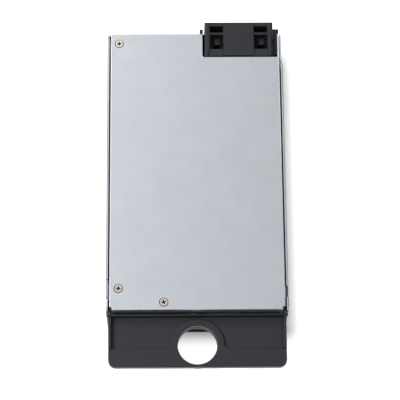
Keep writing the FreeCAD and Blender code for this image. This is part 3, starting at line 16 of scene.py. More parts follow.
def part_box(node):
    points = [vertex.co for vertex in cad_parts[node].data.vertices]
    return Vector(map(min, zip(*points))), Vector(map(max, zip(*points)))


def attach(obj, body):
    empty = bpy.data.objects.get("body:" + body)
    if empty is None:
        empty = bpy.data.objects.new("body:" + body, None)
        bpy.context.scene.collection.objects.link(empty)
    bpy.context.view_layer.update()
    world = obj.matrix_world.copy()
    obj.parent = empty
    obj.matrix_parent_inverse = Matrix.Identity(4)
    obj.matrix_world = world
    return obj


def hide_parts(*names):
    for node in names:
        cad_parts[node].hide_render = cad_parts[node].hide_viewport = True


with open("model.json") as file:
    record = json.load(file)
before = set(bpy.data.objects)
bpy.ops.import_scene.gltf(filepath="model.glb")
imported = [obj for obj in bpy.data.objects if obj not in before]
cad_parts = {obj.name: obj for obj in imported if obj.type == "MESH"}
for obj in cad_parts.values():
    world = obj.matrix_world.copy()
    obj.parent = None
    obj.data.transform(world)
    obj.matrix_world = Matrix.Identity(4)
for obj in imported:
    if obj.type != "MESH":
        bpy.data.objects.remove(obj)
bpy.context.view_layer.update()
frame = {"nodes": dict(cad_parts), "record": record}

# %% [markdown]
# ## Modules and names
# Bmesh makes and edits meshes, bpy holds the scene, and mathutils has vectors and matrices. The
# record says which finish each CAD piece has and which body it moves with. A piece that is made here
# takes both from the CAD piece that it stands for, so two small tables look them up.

scene = bpy.context.scene
nodes = frame["nodes"]
mm = 0.001
slot_of = {part["node"]: part["material_slot"] for part in frame["record"]["subparts"]}
body_of = {name: body for body, names in frame["record"]["behaviour"]["bodies"].items()
           for name in names}
print("pieces in the frame:", len(nodes))

# %% [markdown]
# ## The camera
# The module is seen from its handle end and from high above, through a long lens, so its sides stay
# nearly parallel. A long lens could also be an orthographic camera, but then the far end would be as
# wide as the near end, and on the real view it is a little narrower. The numbers are the place of
# the lens, the tilt away from straight down, a small turn and a small roll.

# %% Camera
camera_data = bpy.data.cameras.new("camera")
camera_data.sensor_width = 36.0
camera_data.lens = 163.7
camera_data.clip_start = 0.05
camera = bpy.data.objects.new("camera", camera_data)
scene.collection.objects.link(camera)
scene.camera = camera
camera_place = Vector((-13.7, -356.7, 1005.6)) * mm
camera_tilt = math.radians(19.28)
camera_turn = math.radians(-0.28)
camera_roll = math.radians(-0.79)
camera.matrix_world = (Matrix.Translation(camera_place)
                       @ Matrix.Rotation(camera_turn, 4, "Z")
                       @ Matrix.Rotation(camera_tilt, 4, "X")
                       @ Matrix.Rotation(camera_roll, 4, "Y"))
print("camera stands", round(camera_place.length, 3), "m from the module")

# %% [markdown]
# ## Colours and nodes
# A hex colour is how a screen or a paint card states a colour. Blender's shaders work on linear
# light, so one function turns hex into linear values. One more small function adds a shader node,
# sets its sockets and makes its links, so that each material below reads as a list of its nodes.

# %% Helpers for materials
def linear(hex_colour):
    """The linear colour of an sRGB hex string such as 'C8CCD4'."""
    parts = [int(hex_colour[k:k + 2], 16) / 255 for k in (0, 2, 4)]
    curve = [v / 12.92 if v <= 0.04045 else ((v + 0.055) / 1.055) ** 2.4 for v in parts]
    return (*curve, 1.0)


def add(tree, kind, values=None, links=None, **settings):
    """Adds a node: settings are its own options, values set sockets, links join them to others."""
    made = tree.nodes.new(kind)
    for name, value in settings.items():
        setattr(made, name, value)
    for name, value in (values or {}).items():
        made.inputs[name].default_value = value
    for name, source in (links or {}).items():
        tree.links.new(source, made.inputs[name])
    return made


def new_material(name):
    """An empty node material, its tree and its output node."""
    material = bpy.data.materials.new(name)
    material.use_nodes = True
    material.node_tree.nodes.clear()
    out = add(material.node_tree, "ShaderNodeOutputMaterial")
    return material, material.node_tree, out


# %% [markdown]
# ## Floor and light
# The module lies on a white sweep. The paper is a bright diffuse white, and a little of its own
# light, seen only by the camera and in reflections, lifts it to pure white. This light is weak
# beside the case and full from 11 mm on, so the floor is painted darker along the walls: painted
# shade on top of the real soft shadow there. Making the lamps stronger would whiten the floor too,
# but it would also bleach the metal. The key lamp is a small soft panel high up on the left, so the
# shadow stays narrow and falls to the right. Two wide, weak panels behind the module light the folds
# and the plastic's edges.
#
# The paper's own light is an emission beside a diffuse shader. Its strength is the distance from the
# case's outline, run through a smooth step, and it counts only for camera, glossy and transmission
# rays, so it lights nothing.

# %% Floor: the sheet of paper
floor_mesh = bpy.data.meshes.new("floor")
floor_reach = 3.0
shape = bmesh.new()
bmesh.ops.create_grid(shape, x_segments=1, y_segments=1, size=floor_reach)
shape.to_mesh(floor_mesh)
shape.free()
floor = bpy.data.objects.new("floor", floor_mesh)
scene.collection.objects.link(floor)
print("floor:", 2 * floor_reach, "m wide")

# %% Floor: paper with a little light of its own
case_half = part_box("base_chassis")[1] * Vector((1, 1, 0))
shadow_reach, glow_beside, glow_beyond = 11 * mm, 0.17, 0.85
floor_white, tree, out = new_material("white_paper_sweep")
rays = add(tree, "ShaderNodeLightPath")
seen = add(tree, "ShaderNodeMath", operation="MAXIMUM",
           links={0: rays.outputs["Is Camera Ray"], 1: rays.outputs["Is Glossy Ray"]})
seen = add(tree, "ShaderNodeMath", operation="MAXIMUM",
           links={0: seen.outputs[0], 1: rays.outputs["Is Transmission Ray"]})
glow = add(tree, "ShaderNodeEmission", values={"Color": linear("FFFFFF")})
place = add(tree, "ShaderNodeTexCoord")
past = add(tree, "ShaderNodeVectorMath", operation="ABSOLUTE", links={0: place.outputs["Object"]})
past = add(tree, "ShaderNodeVectorMath", operation="SUBTRACT", values={1: case_half},
           links={0: past.outputs[0]})
past = add(tree, "ShaderNodeVectorMath", operation="MAXIMUM", values={1: (0, 0, 0)},
           links={0: past.outputs[0]})
away = add(tree, "ShaderNodeVectorMath", operation="LENGTH", links={0: past.outputs[0]})
# The glow is weak near the case: painted shade along the walls, over the real shadow.
painted_shade_ramp = add(tree, "ShaderNodeMapRange", interpolation_type="SMOOTHSTEP",
           values={"From Max": shadow_reach, "To Min": glow_beside, "To Max": glow_beyond},
           links={"Value": away.outputs["Value"]})
glow_level = add(tree, "ShaderNodeMath", operation="MULTIPLY",
                 links={0: seen.outputs[0], 1: painted_shade_ramp.outputs[0]})
tree.links.new(glow_level.outputs[0], glow.inputs["Strength"])
paper = add(tree, "ShaderNodeBsdfDiffuse", values={"Color": linear("F4F4F4")})
both = add(tree, "ShaderNodeAddShader", links={0: glow.outputs[0], 1: paper.outputs[0]})
tree.links.new(both.outputs[0], out.inputs["Surface"])
floor_mesh.materials.append(floor_white)
print("the floor's own light is full", round(shadow_reach / mm), "mm from the case")

# %% Lamps
def panel_lamp(name, place, size, watts):
    """A square soft panel at a place, turned to face the module."""
    data = bpy.data.lights.new(name, "AREA")
    data.size = size
    data.energy = watts
    lamp = bpy.data.objects.new(name, data)
    lamp.location = place
    lamp.rotation_euler = (-Vector(place)).to_track_quat("-Z", "Y").to_euler()
    scene.collection.objects.link(lamp)


panel_lamp("key_panel", (-1.15, -0.15, 1.74), 0.25, 22.0)
panel_lamp("edge_panel", (-1.15, 1.15, 1.20), 0.90, 6.0)
panel_lamp("rear_panel", (-0.60, 1.20, 1.60), 0.80, 6.5)
print("lamps:", len(bpy.data.lights))

# %% [markdown]
# ## The room
# Metal shows what stands around it. A plain grey room would make dark plastic look milky, so this
# one is bright overhead and nearly dark at the horizon. The height in the sky, taken from the
# direction of the ray, sets the strength through a smooth step. The camera itself sees plain white.

# %% World
dark_horizon, bright_above = 0.05, 0.50
world = bpy.data.worlds.new("studio")
scene.world = world
world.use_nodes = True
world.node_tree.nodes.clear()
world_out = add(world.node_tree, "ShaderNodeOutputWorld")
rays = add(world.node_tree, "ShaderNodeLightPath")
aim = add(world.node_tree, "ShaderNodeTexCoord")
aim = add(world.node_tree, "ShaderNodeSeparateXYZ", links={0: aim.outputs["Generated"]})
room = add(world.node_tree, "ShaderNodeMapRange", interpolation_type="SMOOTHSTEP",
           values={"From Min": 0.05, "From Max": 0.55, "To Min": dark_horizon,
                   "To Max": bright_above},
           links={"Value": aim.outputs["Z"]})
sky = add(world.node_tree, "ShaderNodeBackground", values={"Color": linear("FFFFFF")},
          links={"Strength": room.outputs[0]})
white = add(world.node_tree, "ShaderNodeBackground",
            values={"Color": linear("FFFFFF"), "Strength": 1.0})
choose = add(world.node_tree, "ShaderNodeMixShader",
             links={0: rays.outputs["Is Camera Ray"], 1: sky.outputs[0], 2: white.outputs[0]})
world.node_tree.links.new(choose.outputs[0], world_out.inputs["Surface"])
scene.view_settings.view_transform = "Standard"
print("view transform:", scene.view_settings.view_transform)

# %% [markdown]
# ## Zinc-plated sheet steel
# The case is thin cold-rolled steel with a clear satin zinc finish. It mirrors the room only
# vaguely. Up close it shows a fine rolling grain along its length and a very faint cloudiness from
# the plating bath. The grain is a noise stretched along Y. Its lines are 0.8 mm apart, coarser than
# the real ones, which would be too fine to show. The clouds are 9 mm wide, and a bluish tint comes
# and goes over 24 mm. An image would do too, but noise has no seams and needs no unwrapping.

# %% Material: zinc-plated sheet steel
def zinc_plated_sheet():
    """Satin zinc: a pale, faintly clouded mirror with its grain along Y."""
    material, tree, out = new_material("zinc_plated_sheet_steel")
    place = add(tree, "ShaderNodeTexCoord")
    grain_place = add(tree, "ShaderNodeMapping", links={"Vector": place.outputs["Object"]})
    grain_place.inputs["Scale"].default_value = (1.0, 0.04, 1.0)
    grain = add(tree, "ShaderNodeTexNoise", values={"Scale": 1 / (0.8 * mm), "Detail": 3.0},
                links={"Vector": grain_place.outputs[0]})
    cloud = add(tree, "ShaderNodeTexNoise",
                values={"Scale": 1 / (9 * mm), "Detail": 3.0, "Roughness": 0.5},
                links={"Vector": place.outputs["Object"]})
    tint = add(tree, "ShaderNodeTexNoise", values={"Scale": 1 / (24 * mm), "Detail": 1.0},
               links={"Vector": place.outputs["Object"]})
    tone = add(tree, "ShaderNodeValToRGB", links={0: cloud.outputs["Fac"]})
    tone.color_ramp.elements[0].position = 0.35
    tone.color_ramp.elements[0].color = linear("C4C8CC")
    tone.color_ramp.elements[1].position = 0.65
    tone.color_ramp.elements[1].color = linear("CACED2")
    bluish = add(tree, "ShaderNodeMixRGB", values={2: linear("C4C9D2")},
                 links={0: tint.outputs["Fac"], 1: tone.outputs["Color"]})
    rough = add(tree, "ShaderNodeMapRange", values={"To Min": 0.42, "To Max": 0.50},
                links={"Value": grain.outputs["Fac"]})
    bump = add(tree, "ShaderNodeBump", values={"Strength": 0.05, "Distance": 0.02 * mm},
               links={"Height": grain.outputs["Fac"]})
    steel = add(tree, "ShaderNodeBsdfPrincipled", values={"Metallic": 1.0},
                links={"Base Color": bluish.outputs[0], "Roughness": rough.outputs[0],
                       "Normal": bump.outputs["Normal"]})
    tree.links.new(steel.outputs[0], out.inputs["Surface"])
    return material


# %% [markdown]
# ## Moulded plastic
# Bezel and handle are injection-moulded polycarbonate blend from a spark-eroded mould: a dull black
# with a very fine even grain. Grain of about 0.4 mm is a little coarser than the real one, so that
# it still shows at this distance. The same recipe with other colours, gloss and grain makes the
# nylon inlet, the glass-filled connector and the small parts on the board.

# %% Material: moulded plastic in several colours
def moulded_plastic(name, colour, roughness, grain_mm, grain_depth_mm, gloss=0.5):
    """A moulded surface: an even colour, a fine grain that breaks the gloss, and soft highlights."""
    material, tree, out = new_material(name)
    place = add(tree, "ShaderNodeTexCoord")
    grain = add(tree, "ShaderNodeTexNoise", values={"Scale": 1 / (grain_mm * mm), "Detail": 3.0},
                links={"Vector": place.outputs["Object"]})
    cloud = add(tree, "ShaderNodeTexNoise", values={"Scale": 1 / (18 * mm), "Detail": 2.0},
                links={"Vector": place.outputs["Object"]})
    base = linear(colour)
    tone = add(tree, "ShaderNodeMixRGB", links={0: cloud.outputs["Fac"]},
               values={1: (*[v * 0.9 for v in base[:3]], 1.0),
                       2: (*[v * 1.1 for v in base[:3]], 1.0)})
    rough = add(tree, "ShaderNodeMapRange", links={"Value": grain.outputs["Fac"]},
                values={"To Min": roughness - 0.07, "To Max": roughness + 0.07})
    bump = add(tree, "ShaderNodeBump", values={"Strength": 0.5, "Distance": grain_depth_mm * mm},
               links={"Height": grain.outputs["Fac"]})
    plastic = add(tree, "ShaderNodeBsdfPrincipled",
                  values={"IOR": 1.50, "Specular IOR Level": gloss},
                  links={"Base Color": tone.outputs[0], "Roughness": rough.outputs[0],
                         "Normal": bump.outputs["Normal"]})
    tree.links.new(plastic.outputs[0], out.inputs["Surface"])
    return material


# %% [markdown]
# ## Small metal parts
# Screws, pins and bars are plated or bare metal. Their colour comes from the metal and hardly
# varies, but handling and plating leave the gloss a little uneven, which a noise on the roughness
# gives. The noise is about 0.5 mm wide, coarser than real plating, so that it shows. A metal's
# reflection colour is its base colour, and its IOR stays at the shader's own value.

# %% Material: plated metal in several colours
def plated_metal(name, colour, roughness, grain_mm=0.5):
    """Plated or bare metal: a coloured mirror with an uneven gloss."""
    material, tree, out = new_material(name)
    place = add(tree, "ShaderNodeTexCoord")
    grain = add(tree, "ShaderNodeTexNoise", values={"Scale": 1 / (grain_mm * mm), "Detail": 2.0},
                links={"Vector": place.outputs["Object"]})
    base = linear(colour)
    tone = add(tree, "ShaderNodeMixRGB", links={0: grain.outputs["Fac"]},
               values={1: (*[v * 0.93 for v in base[:3]], 1.0),
                       2: (*[min(1.0, v * 1.07) for v in base[:3]], 1.0)})
    rough = add(tree, "ShaderNodeMapRange", links={"Value": grain.outputs["Fac"]},
                values={"To Min": roughness - 0.06, "To Max": roughness + 0.06})
    metal = add(tree, "ShaderNodeBsdfPrincipled", values={"Metallic": 1.0},
                links={"Base Color": tone.outputs[0], "Roughness": rough.outputs[0]})
    tree.links.new(metal.outputs[0], out.inputs["Surface"])
    return material


# %% [markdown]
# ## A finish for every slot
# The record names a slot for each CAD piece. This table makes one finish for each slot, and each is
# named for its material and how it was made. The numbers are the colour, the roughness, the width
# and depth of the grain in mm, and for two plastics a weaker gloss, because a spark-eroded mould
# leaves a surface that hardly shines.

# %% Every slot of the record gets its finish
finishes = {
    # Case and screws: pale cool zinc, and warm nickel that stands out from it
    "case_steel": zinc_plated_sheet(),
    "screw_nickel": plated_metal("nickel_plated_screw_steel", "E6E0D8", 0.34),
    # Outer mouldings and fan: near-black, with soft wide highlights
    "bezel_black": moulded_plastic("moulded_pc_abs_black", "25272C", 0.50, 0.4, 0.03, 0.35),
    "inlet_black": moulded_plastic("moulded_nylon_black", "1E1E20", 0.45, 0.5, 0.02),
    "fan_black": moulded_plastic("moulded_pbt_black", "1B1B1D", 0.5, 0.5, 0.02),
    "connector_black": moulded_plastic("glass_filled_pbt_black", "24262B", 0.46, 0.35, 0.02, 0.35),
    # Pins, springs, contacts and bars: small bright metal of several colours
    "contact_nickel": plated_metal("nickel_plated_brass_pin", "C9C2B0", 0.3),
    "contact_gold": plated_metal("gold_flashed_contact", "D8B56A", 0.25),
    "shaft_steel": plated_metal("ground_spring_steel", "A8A8A8", 0.3),
    "motor_copper": plated_metal("enamelled_copper_wire", "A8552C", 0.35),
    "busbar_copper": plated_metal("tinned_copper_bar", "C58A63", 0.35),
    "heatsink_aluminium": plated_metal("extruded_aluminium", "C9CBCD", 0.4, 0.8),
    # Lamp, film, board and the parts on it: plain colours, from glossy to chalky
    "light_pipe_clear": moulded_plastic("clear_polycarbonate_light_pipe", "C9DCCF", 0.2, 0.6, 0.0),
    "led_white": moulded_plastic("white_led_body", "E2E0D4", 0.4, 0.6, 0.0),
    "insulator_film": moulded_plastic("rolled_insulator_film", "1C1C1E", 0.5, 0.8, 0.01),
    "board_green": moulded_plastic("solder_resist_green", "12482A", 0.35, 0.6, 0.01),
    "chip_black": moulded_plastic("moulded_epoxy_package", "1E1E1F", 0.55, 0.4, 0.02),
    "fuse_ceramic": moulded_plastic("glazed_ceramic", "D9D3C4", 0.3, 0.6, 0.0),
    "ferrite_grey": moulded_plastic("sintered_ferrite", "2E2E31", 0.6, 0.5, 0.02),
    "film_yellow": moulded_plastic("yellow_film_box", "C9A227", 0.4, 0.6, 0.01),
    "relay_white": moulded_plastic("white_relay_box", "C6C6C2", 0.4, 0.6, 0.01),
    "sleeve_black": moulded_plastic("shrunk_pvc_sleeve", "17171B", 0.35, 0.8, 0.01),
}
for name, piece in nodes.items():
    piece.data.materials.clear()
    piece.data.materials.append(finishes[slot_of[name]])
print("finishes:", len(finishes))

# %% [markdown]
# ## Soft edges
# No moulded or folded edge is perfectly sharp. Its tiny round catches the light as a thin line, and
# that line is what makes a piece read as real. The CAD solids leave these rounds out, so the outer
# pieces are shown through copies whose sharp edges are bevelled. The copy is merged first, because
# a CAD mesh is loose triangles, and its coplanar triangles are dissolved into whole faces. Faces of
# a curve are shaded smooth and flat faces stay flat.

# %% Helpers for pieces
def shown_piece(shape, name, node, finish=None):
    """Turns a finished bmesh into an object that stands for a CAD node and moves as it does."""
    mesh = bpy.data.meshes.new(name)
    shape.to_mesh(mesh)
    shape.free()
    mesh.materials.append(finish or finishes[slot_of[node]])
    piece = bpy.data.objects.new(name, mesh)
    scene.collection.objects.link(piece)
    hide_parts(node)
    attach(piece, body_of[node])
    low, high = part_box(node)
    grown = max(max(low[k] - v.co[k], v.co[k] - high[k]) for v in mesh.vertices for k in range(3))
    print(name, len(mesh.polygons), "faces, beyond its solid by", round(grown / mm, 2), "mm")
    return piece


def shade(shape, sharp_deg=30.0, widest_mm=4.0):
    """Smooth shading on narrow faces that meet a neighbour at a gentle angle, as round walls do."""
    for face in shape.faces:
        face.smooth = False
    for edge in shape.edges:
        if len(edge.link_faces) == 2 and 1.0 < math.degrees(edge.calc_face_angle(0)) < sharp_deg:
            for face in edge.link_faces:
                width = face.calc_area() / max(side.calc_length() for side in face.edges)
                face.smooth = width < widest_mm * mm


def round_sharp_edges(shape, width_mm, segments=2, sharp_deg=30.0):
    """Bevels every edge sharper than the angle and shades the result."""
    shade(shape, sharp_deg)
    sharp = [edge for edge in shape.edges if len(edge.link_faces) == 2
             and math.degrees(edge.calc_face_angle(0)) > sharp_deg]
    made = bmesh.ops.bevel(shape, geom=sharp, offset=width_mm * mm, offset_type="OFFSET",
                           segments=segments, profile=0.5, affect="EDGES", material=-1,
                           clamp_overlap=False)
    for face in made["faces"]:
        face.smooth = True


def merged_copy(node):
    """A bmesh copy of a CAD piece, with its loose triangles merged into whole faces."""
    shape = bmesh.new()
    shape.from_mesh(nodes[node].data)
    shape.transform(nodes[node].matrix_world)
    bmesh.ops.remove_doubles(shape, verts=shape.verts, dist=0.002 * mm)
    bmesh.ops.dissolve_limit(shape, angle_limit=math.radians(0.5), verts=shape.verts,
                             edges=shape.edges)
    return shape


# %% [markdown]
# ## Inlet, latch and fan
# These four mouldings are right in the CAD model but for their sharp edges. The inlet and the latch
# are touched by hand and have the widest rounds. The fan is a thin moulding and has smaller ones.

# %% Soft copies
edge_round = {"inlet_housing": 0.30, "release_latch": 0.30, "fan_frame": 0.15, "fan_rotor": 0.12}
for node, width in edge_round.items():
    shape = merged_copy(node)
    round_sharp_edges(shape, width)
    shown_piece(shape, "soft_" + node, node)

# %% [markdown]
# ## The case's sheared edges and painted shade
# Shears roll the edge of a sheet over a little and tear its plating, so the outer rim of a wall is a
# thin dull line. A narrow bevel along the tops of the side walls gets a dark grey steel: partly that
# bare steel, partly painted shade that draws a dark outline along the walls. Two details of the tray
# keep the gaps beside the lid dark. Its front wall is lower at both ends, and the ledge inside its
# left wall lies deeper. The lowered ends of the front wall get the same dark steel, as painted shade
# in the front corners. A plane cuts the wall where a low end begins, and the points beyond the cut
# are lowered. They could be cut off instead, but lowering keeps the shell closed.

# %% Chassis: low front corners and deep ledge, places in mm
front_wall_y = -79
corner_cut_x, corner_end_x, corner_foot_z, corner_drop = 46.9, 49.4, 38, 5
ledge_x, ledge_low_z, ledge_high_z, ledge_drop = -46.5, 36.5, 38.2, 4
shape = merged_copy("base_chassis")
shade(shape)
for side in (-1, 1):
    front = [face for face in shape.faces if face.calc_center_median().y < front_wall_y * mm]
    around = list({item for face in front for item in (*face.verts, *face.edges)}) + front
    bmesh.ops.bisect_plane(shape, geom=around, plane_co=(side * corner_cut_x * mm, 0, 0),
                           plane_no=(1, 0, 0))
past_cut = 0.05
for vertex in shape.verts:
    x, y, z = vertex.co / mm
    if corner_cut_x + past_cut < abs(x) < corner_end_x and y < front_wall_y and z > corner_foot_z:
        vertex.co.z -= corner_drop * mm
    elif x < ledge_x and ledge_low_z < z < ledge_high_z:
        vertex.co.z -= ledge_drop * mm

# %% Chassis: dark steel on the rims and in the corners, partly painted shade
dull_edge_and_painted_shade_steel = plated_metal("sheared_edge_and_painted_shade_steel", "5A5C60", 0.5, 0.4)
wall_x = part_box("base_chassis")[1].x
rim_width, wall_foot_z = 0.30, 20
# The rim bevel's dark steel: partly the dull sheared edge, partly painted shade for an outline.
rim = [edge for edge in shape.edges if len(edge.link_faces) == 2
       and all(abs(v.co.x) > wall_x - 0.01 * mm and v.co.z > wall_foot_z * mm for v in edge.verts)
       and edge.verts[0].co.z == edge.verts[1].co.z
       and math.degrees(edge.calc_face_angle(0)) > 60]
print("rim edges:", len(rim), sorted({round(e.verts[0].co.z / mm, 2) for e in rim}))
made = bmesh.ops.bevel(shape, geom=rim, offset=rim_width * mm, offset_type="OFFSET", segments=1,
                       profile=0.5, affect="EDGES", material=-1, clamp_overlap=False)
# The lowered front corners take the dark steel as painted shade.
corners = [face for face in shape.faces if face.calc_center_median().y < front_wall_y * mm
           and corner_cut_x * mm < abs(face.calc_center_median().x) < (corner_end_x + 0.2) * mm]
for face in made["faces"] + corners:
    face.material_index = 1
shown_piece(shape, "soft_base_chassis", "base_chassis").data.materials.append(dull_edge_and_painted_shade_steel)

# %% [markdown]
# ## The bezel
# The bezel's upper ledge is as wide as the case, but below it the plate is drawn in, so that the
# handle hides it from above. Two cuts across the plate give rows of points, and the lower rows move
# in. The foot of the front face slants back by 1.2 mm, as a moulded plate's draft does. Rounding can
# push a point of the foot below the plate, so it is lifted to the plate's own lower edge.

# %% Bezel, places in mm
ledge_foot, ledge_slope, drawn_half = 33.4, 0.4, 48.9
draft_start, draft_depth, bezel_round = 12, 1.2, 0.25
bezel_face, bezel_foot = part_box("front_bezel")[0].y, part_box("front_bezel")[0].z
shape = merged_copy("front_bezel")
for level in (ledge_foot, ledge_foot - ledge_slope):
    bmesh.ops.bisect_plane(shape, geom=shape.verts[:] + shape.edges[:] + shape.faces[:],
                           plane_co=(0, 0, level * mm), plane_no=(0, 0, 1))
for vertex in shape.verts:
    below_ledge = vertex.co.z < (ledge_foot - ledge_slope / 2) * mm
    if below_ledge and abs(vertex.co.x) > drawn_half * mm:
        vertex.co.x = math.copysign(drawn_half * mm, vertex.co.x)
    below_draft = draft_start - vertex.co.z / mm
    if below_draft > 0 and vertex.co.y < bezel_face + 0.01 * mm:
        vertex.co.y += draft_depth * mm * below_draft / draft_start
round_sharp_edges(shape, bezel_round)
for vertex in shape.verts:
    vertex.co.z = max(vertex.co.z, bezel_foot)
shown_piece(shape, "soft_front_bezel", "front_bezel")

# %% [markdown]
# ## The lid
# The lid is folded on a press brake. Its front and side bends are tight, so that each fold shows as
# one thin bright line, where the CAD model has wider bends. A bend's points are moved out to the
# tighter round, and the skirts at the sides are drawn in by 0.3 mm, which leaves an even dark gap to
# the case. Bevelling the solid's fold again would need its round taken off first. The rim of the top
# face is rounded only a little, because the sheet is thin.

# %% Lid: tight bends
bend, tight_bend, sheet, drawn_in = 1.4 * mm, 0.45 * mm, 1.0 * mm, 0.30 * mm
cutout_grown, cutout_edge = 0.25 * mm, 0.7 * mm
lid_low, lid_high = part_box("top_cover")
lid_front, lid_top, lid_half = lid_low.y, lid_high.z, -lid_low.x
hair = 0.001 * mm


def tightened(out, up):
    """A point of a bend, measured from the bend's centre, moved to the tighter bend."""
    if min(out, up) < -hair or out > bend + hair:
        return out, up
    if math.hypot(out, up) < sheet:
        return bend - sheet, bend - sheet
    return bend - tight_bend + out * tight_bend / bend, bend - tight_bend + up * tight_bend / bend


shape = merged_copy("top_cover")
for vertex in shape.verts:
    out, up = tightened(lid_front + bend - vertex.co.y, vertex.co.z - lid_top + bend)
    vertex.co.y = lid_front + bend - out
    side = math.copysign(1, vertex.co.x)
    out, new_up = tightened(side * vertex.co.x - lid_half + bend, up)
    if abs(out - bend / 2) < bend / 2 + hair:
        out -= drawn_in
    vertex.co.x = side * (out + lid_half - bend)
    vertex.co.z = lid_top - bend + new_up
cutout_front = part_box("output_connector")[0].y
for vertex in shape.verts:
    if vertex.co.x > 0 and abs(vertex.co.y - cutout_front) < cutout_edge:
        vertex.co.y -= cutout_grown
print("lid bends:", round(tight_bend / mm, 2), "mm")

# %% [markdown]
# ## The lid's three finishes
# The lid's face is zinc. The small hook at the right and the front corners get the case's dark
# rim steel as painted shade. The upper faces of the folds are a much paler zinc with a smoother
# gloss: a painted highlight along each fold. Each face gets the index of its material from where it
# lies and which way it points.

# %% Lid: finishes by face
shade(shape)
painted_shade_index, fold_highlight_index = 1, 2
corner_x, corner_depth, top_round = 47 * mm, 2 * mm, 0.15 * mm
# Hook and front corners: painted shade. Upper faces of the folds: painted highlight.
for face in shape.faces:
    middle = face.calc_center_median()
    on_hook = middle.x > lid_half + 0.1 * mm
    in_corner = (face.normal.z < 0.3 and middle.y < lid_front + corner_depth
                 and abs(middle.x) > corner_x)
    if on_hook or in_corner:
        face.material_index = painted_shade_index
    elif 0.3 < face.normal.z < 0.99 and middle.z > lid_top - bend:
        face.material_index = fold_highlight_index
rim = [edge for edge in shape.edges if all(v.co.z > lid_top - hair for v in edge.verts)
       and math.degrees(edge.calc_face_angle(0)) > 60]
made = bmesh.ops.bevel(shape, geom=rim, offset=top_round, offset_type="OFFSET", segments=2,
                       profile=0.5, affect="EDGES", material=-1, clamp_overlap=False)
for face in made["faces"]:
    face.smooth = True
lid = shown_piece(shape, "folded_lid", "top_cover")
# The dark steel is painted shade here, the pale fold zinc a painted highlight.
lid.data.materials.append(dull_edge_and_painted_shade_steel)
lid.data.materials.append(plated_metal("zinc_fold_painted_highlight", "F2F3F4", 0.32, 0.5))

# %% [markdown]
# ## A pen for outlines
# Flat moulded shapes start as an outline. Bmesh has no pen, but two of its operators make one:
# extruding a single vertex draws a line, and spinning it about a centre draws an arc. The filled
# outline is then extruded to its thickness.

# %% The pen
def pen_at(shape, x, y, z):
    """Sets the pen down at a place in mm: a single vertex."""
    return shape.verts.new(Vector((x, y, z)) * mm)


def line_to(shape, vertex, x, y):
    """Draws a straight line to a place in mm and returns the new end."""
    made = bmesh.ops.extrude_vert_indiv(shape, verts=[vertex])
    made["verts"][0].co = Vector((x * mm, y * mm, vertex.co.z))
    return made["verts"][0]


def arc_about(shape, vertex, x, y, degrees, steps):
    """Draws an arc about a centre in mm, anticlockwise for a positive angle."""
    made = bmesh.ops.spin(shape, geom=[vertex], cent=(x * mm, y * mm, vertex.co.z), axis=(0, 0, 1),
                          angle=math.radians(degrees), steps=steps)
    return made["geom_last"][0]


def fill_and_raise(shape, height_mm):
    """Fills the closed outlines, holes left open, and pushes the faces up. Returns the top's edges."""
    bmesh.ops.remove_doubles(shape, verts=shape.verts, dist=0.01 * mm)
    bmesh.ops.triangle_fill(shape, edges=shape.edges, use_beauty=True, normal=(0, 0, 1))
    made = bmesh.ops.extrude_face_region(shape, geom=shape.faces[:])
    top = [item for item in made["geom"] if isinstance(item, bmesh.types.BMVert)]
    bmesh.ops.translate(shape, verts=top, vec=(0, 0, height_mm * mm))
    bmesh.ops.recalc_face_normals(shape, faces=shape.faces)
    level = top[0].co.z
    return [edge for edge in shape.edges if all(abs(v.co.z - level) < 0.001 * mm for v in edge.verts)
            and math.degrees(edge.calc_face_angle(0)) > 60]


# %% [markdown]
# ## Blocks
# Rails, ribs and bosses are plain blocks with soft edges. A cube of one metre is scaled to its size,
# moved to its place and bevelled. Each block is a closed shell of its own that reaches into its
# neighbour, as a modeller would press clay on clay, so no faces have to be stitched.

# %% Blocks
def box(shape, low, high, width_mm=0.3):
    """A block between two corners, in mm, with rounded edges."""
    part = bmesh.new()
    bmesh.ops.create_cube(part, size=1.0)
    size = [b - a for a, b in zip(low, high)]
    middle = [(a + b) / 2 for a, b in zip(low, high)]
    bmesh.ops.scale(part, verts=part.verts, vec=[s * mm for s in size])
    bmesh.ops.translate(part, verts=part.verts, vec=[c * mm for c in middle])
    round_sharp_edges(part, width_mm)
    join(shape, part)


def join(shape, part):
    """Adds a part's mesh to a shape and frees the part."""
    mesh = bpy.data.meshes.new("part")
    part.to_mesh(mesh)
    part.free()
    shape.from_mesh(mesh)
    bpy.data.meshes.remove(mesh)


# %% [markdown]
# ## The pull handle
# The handle is one moulding: a raised bar along the front, which swells into a round boss about the
# finger hole, a thinner floor behind it, and a low rail at each side. The bar and boss are drawn
# with the pen as one outline, so that the boss runs into the bar through a real fillet. A cylinder
# joined to a bar would leave a sharp corner there. The top edges are bevelled last, and the rim of
# the hole a little more than the rest, as for fingers. The floor still covers the handle's screws.

# %% Handle, places in mm
handle_low, handle_high = [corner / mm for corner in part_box("pull_handle")]
handle_half = handle_high.x
front_y = handle_low.y
foot_z, floor_z, bar_z, rail_z = 30.3, 31.7, 33.7, handle_high.z
bar_depth, hole_depth = 10.7, 12.5
step_y, hole_y, rear_y = front_y + bar_depth, front_y + hole_depth, handle_high.y
hole_radius, boss_radius, foot_round, corner_round = 10.95, 14.9, 2.4, 4.2
outer_edge_round, hole_edge_round = 0.45, 0.5
print("handle half width", round(handle_half, 2), "front", round(front_y, 2))

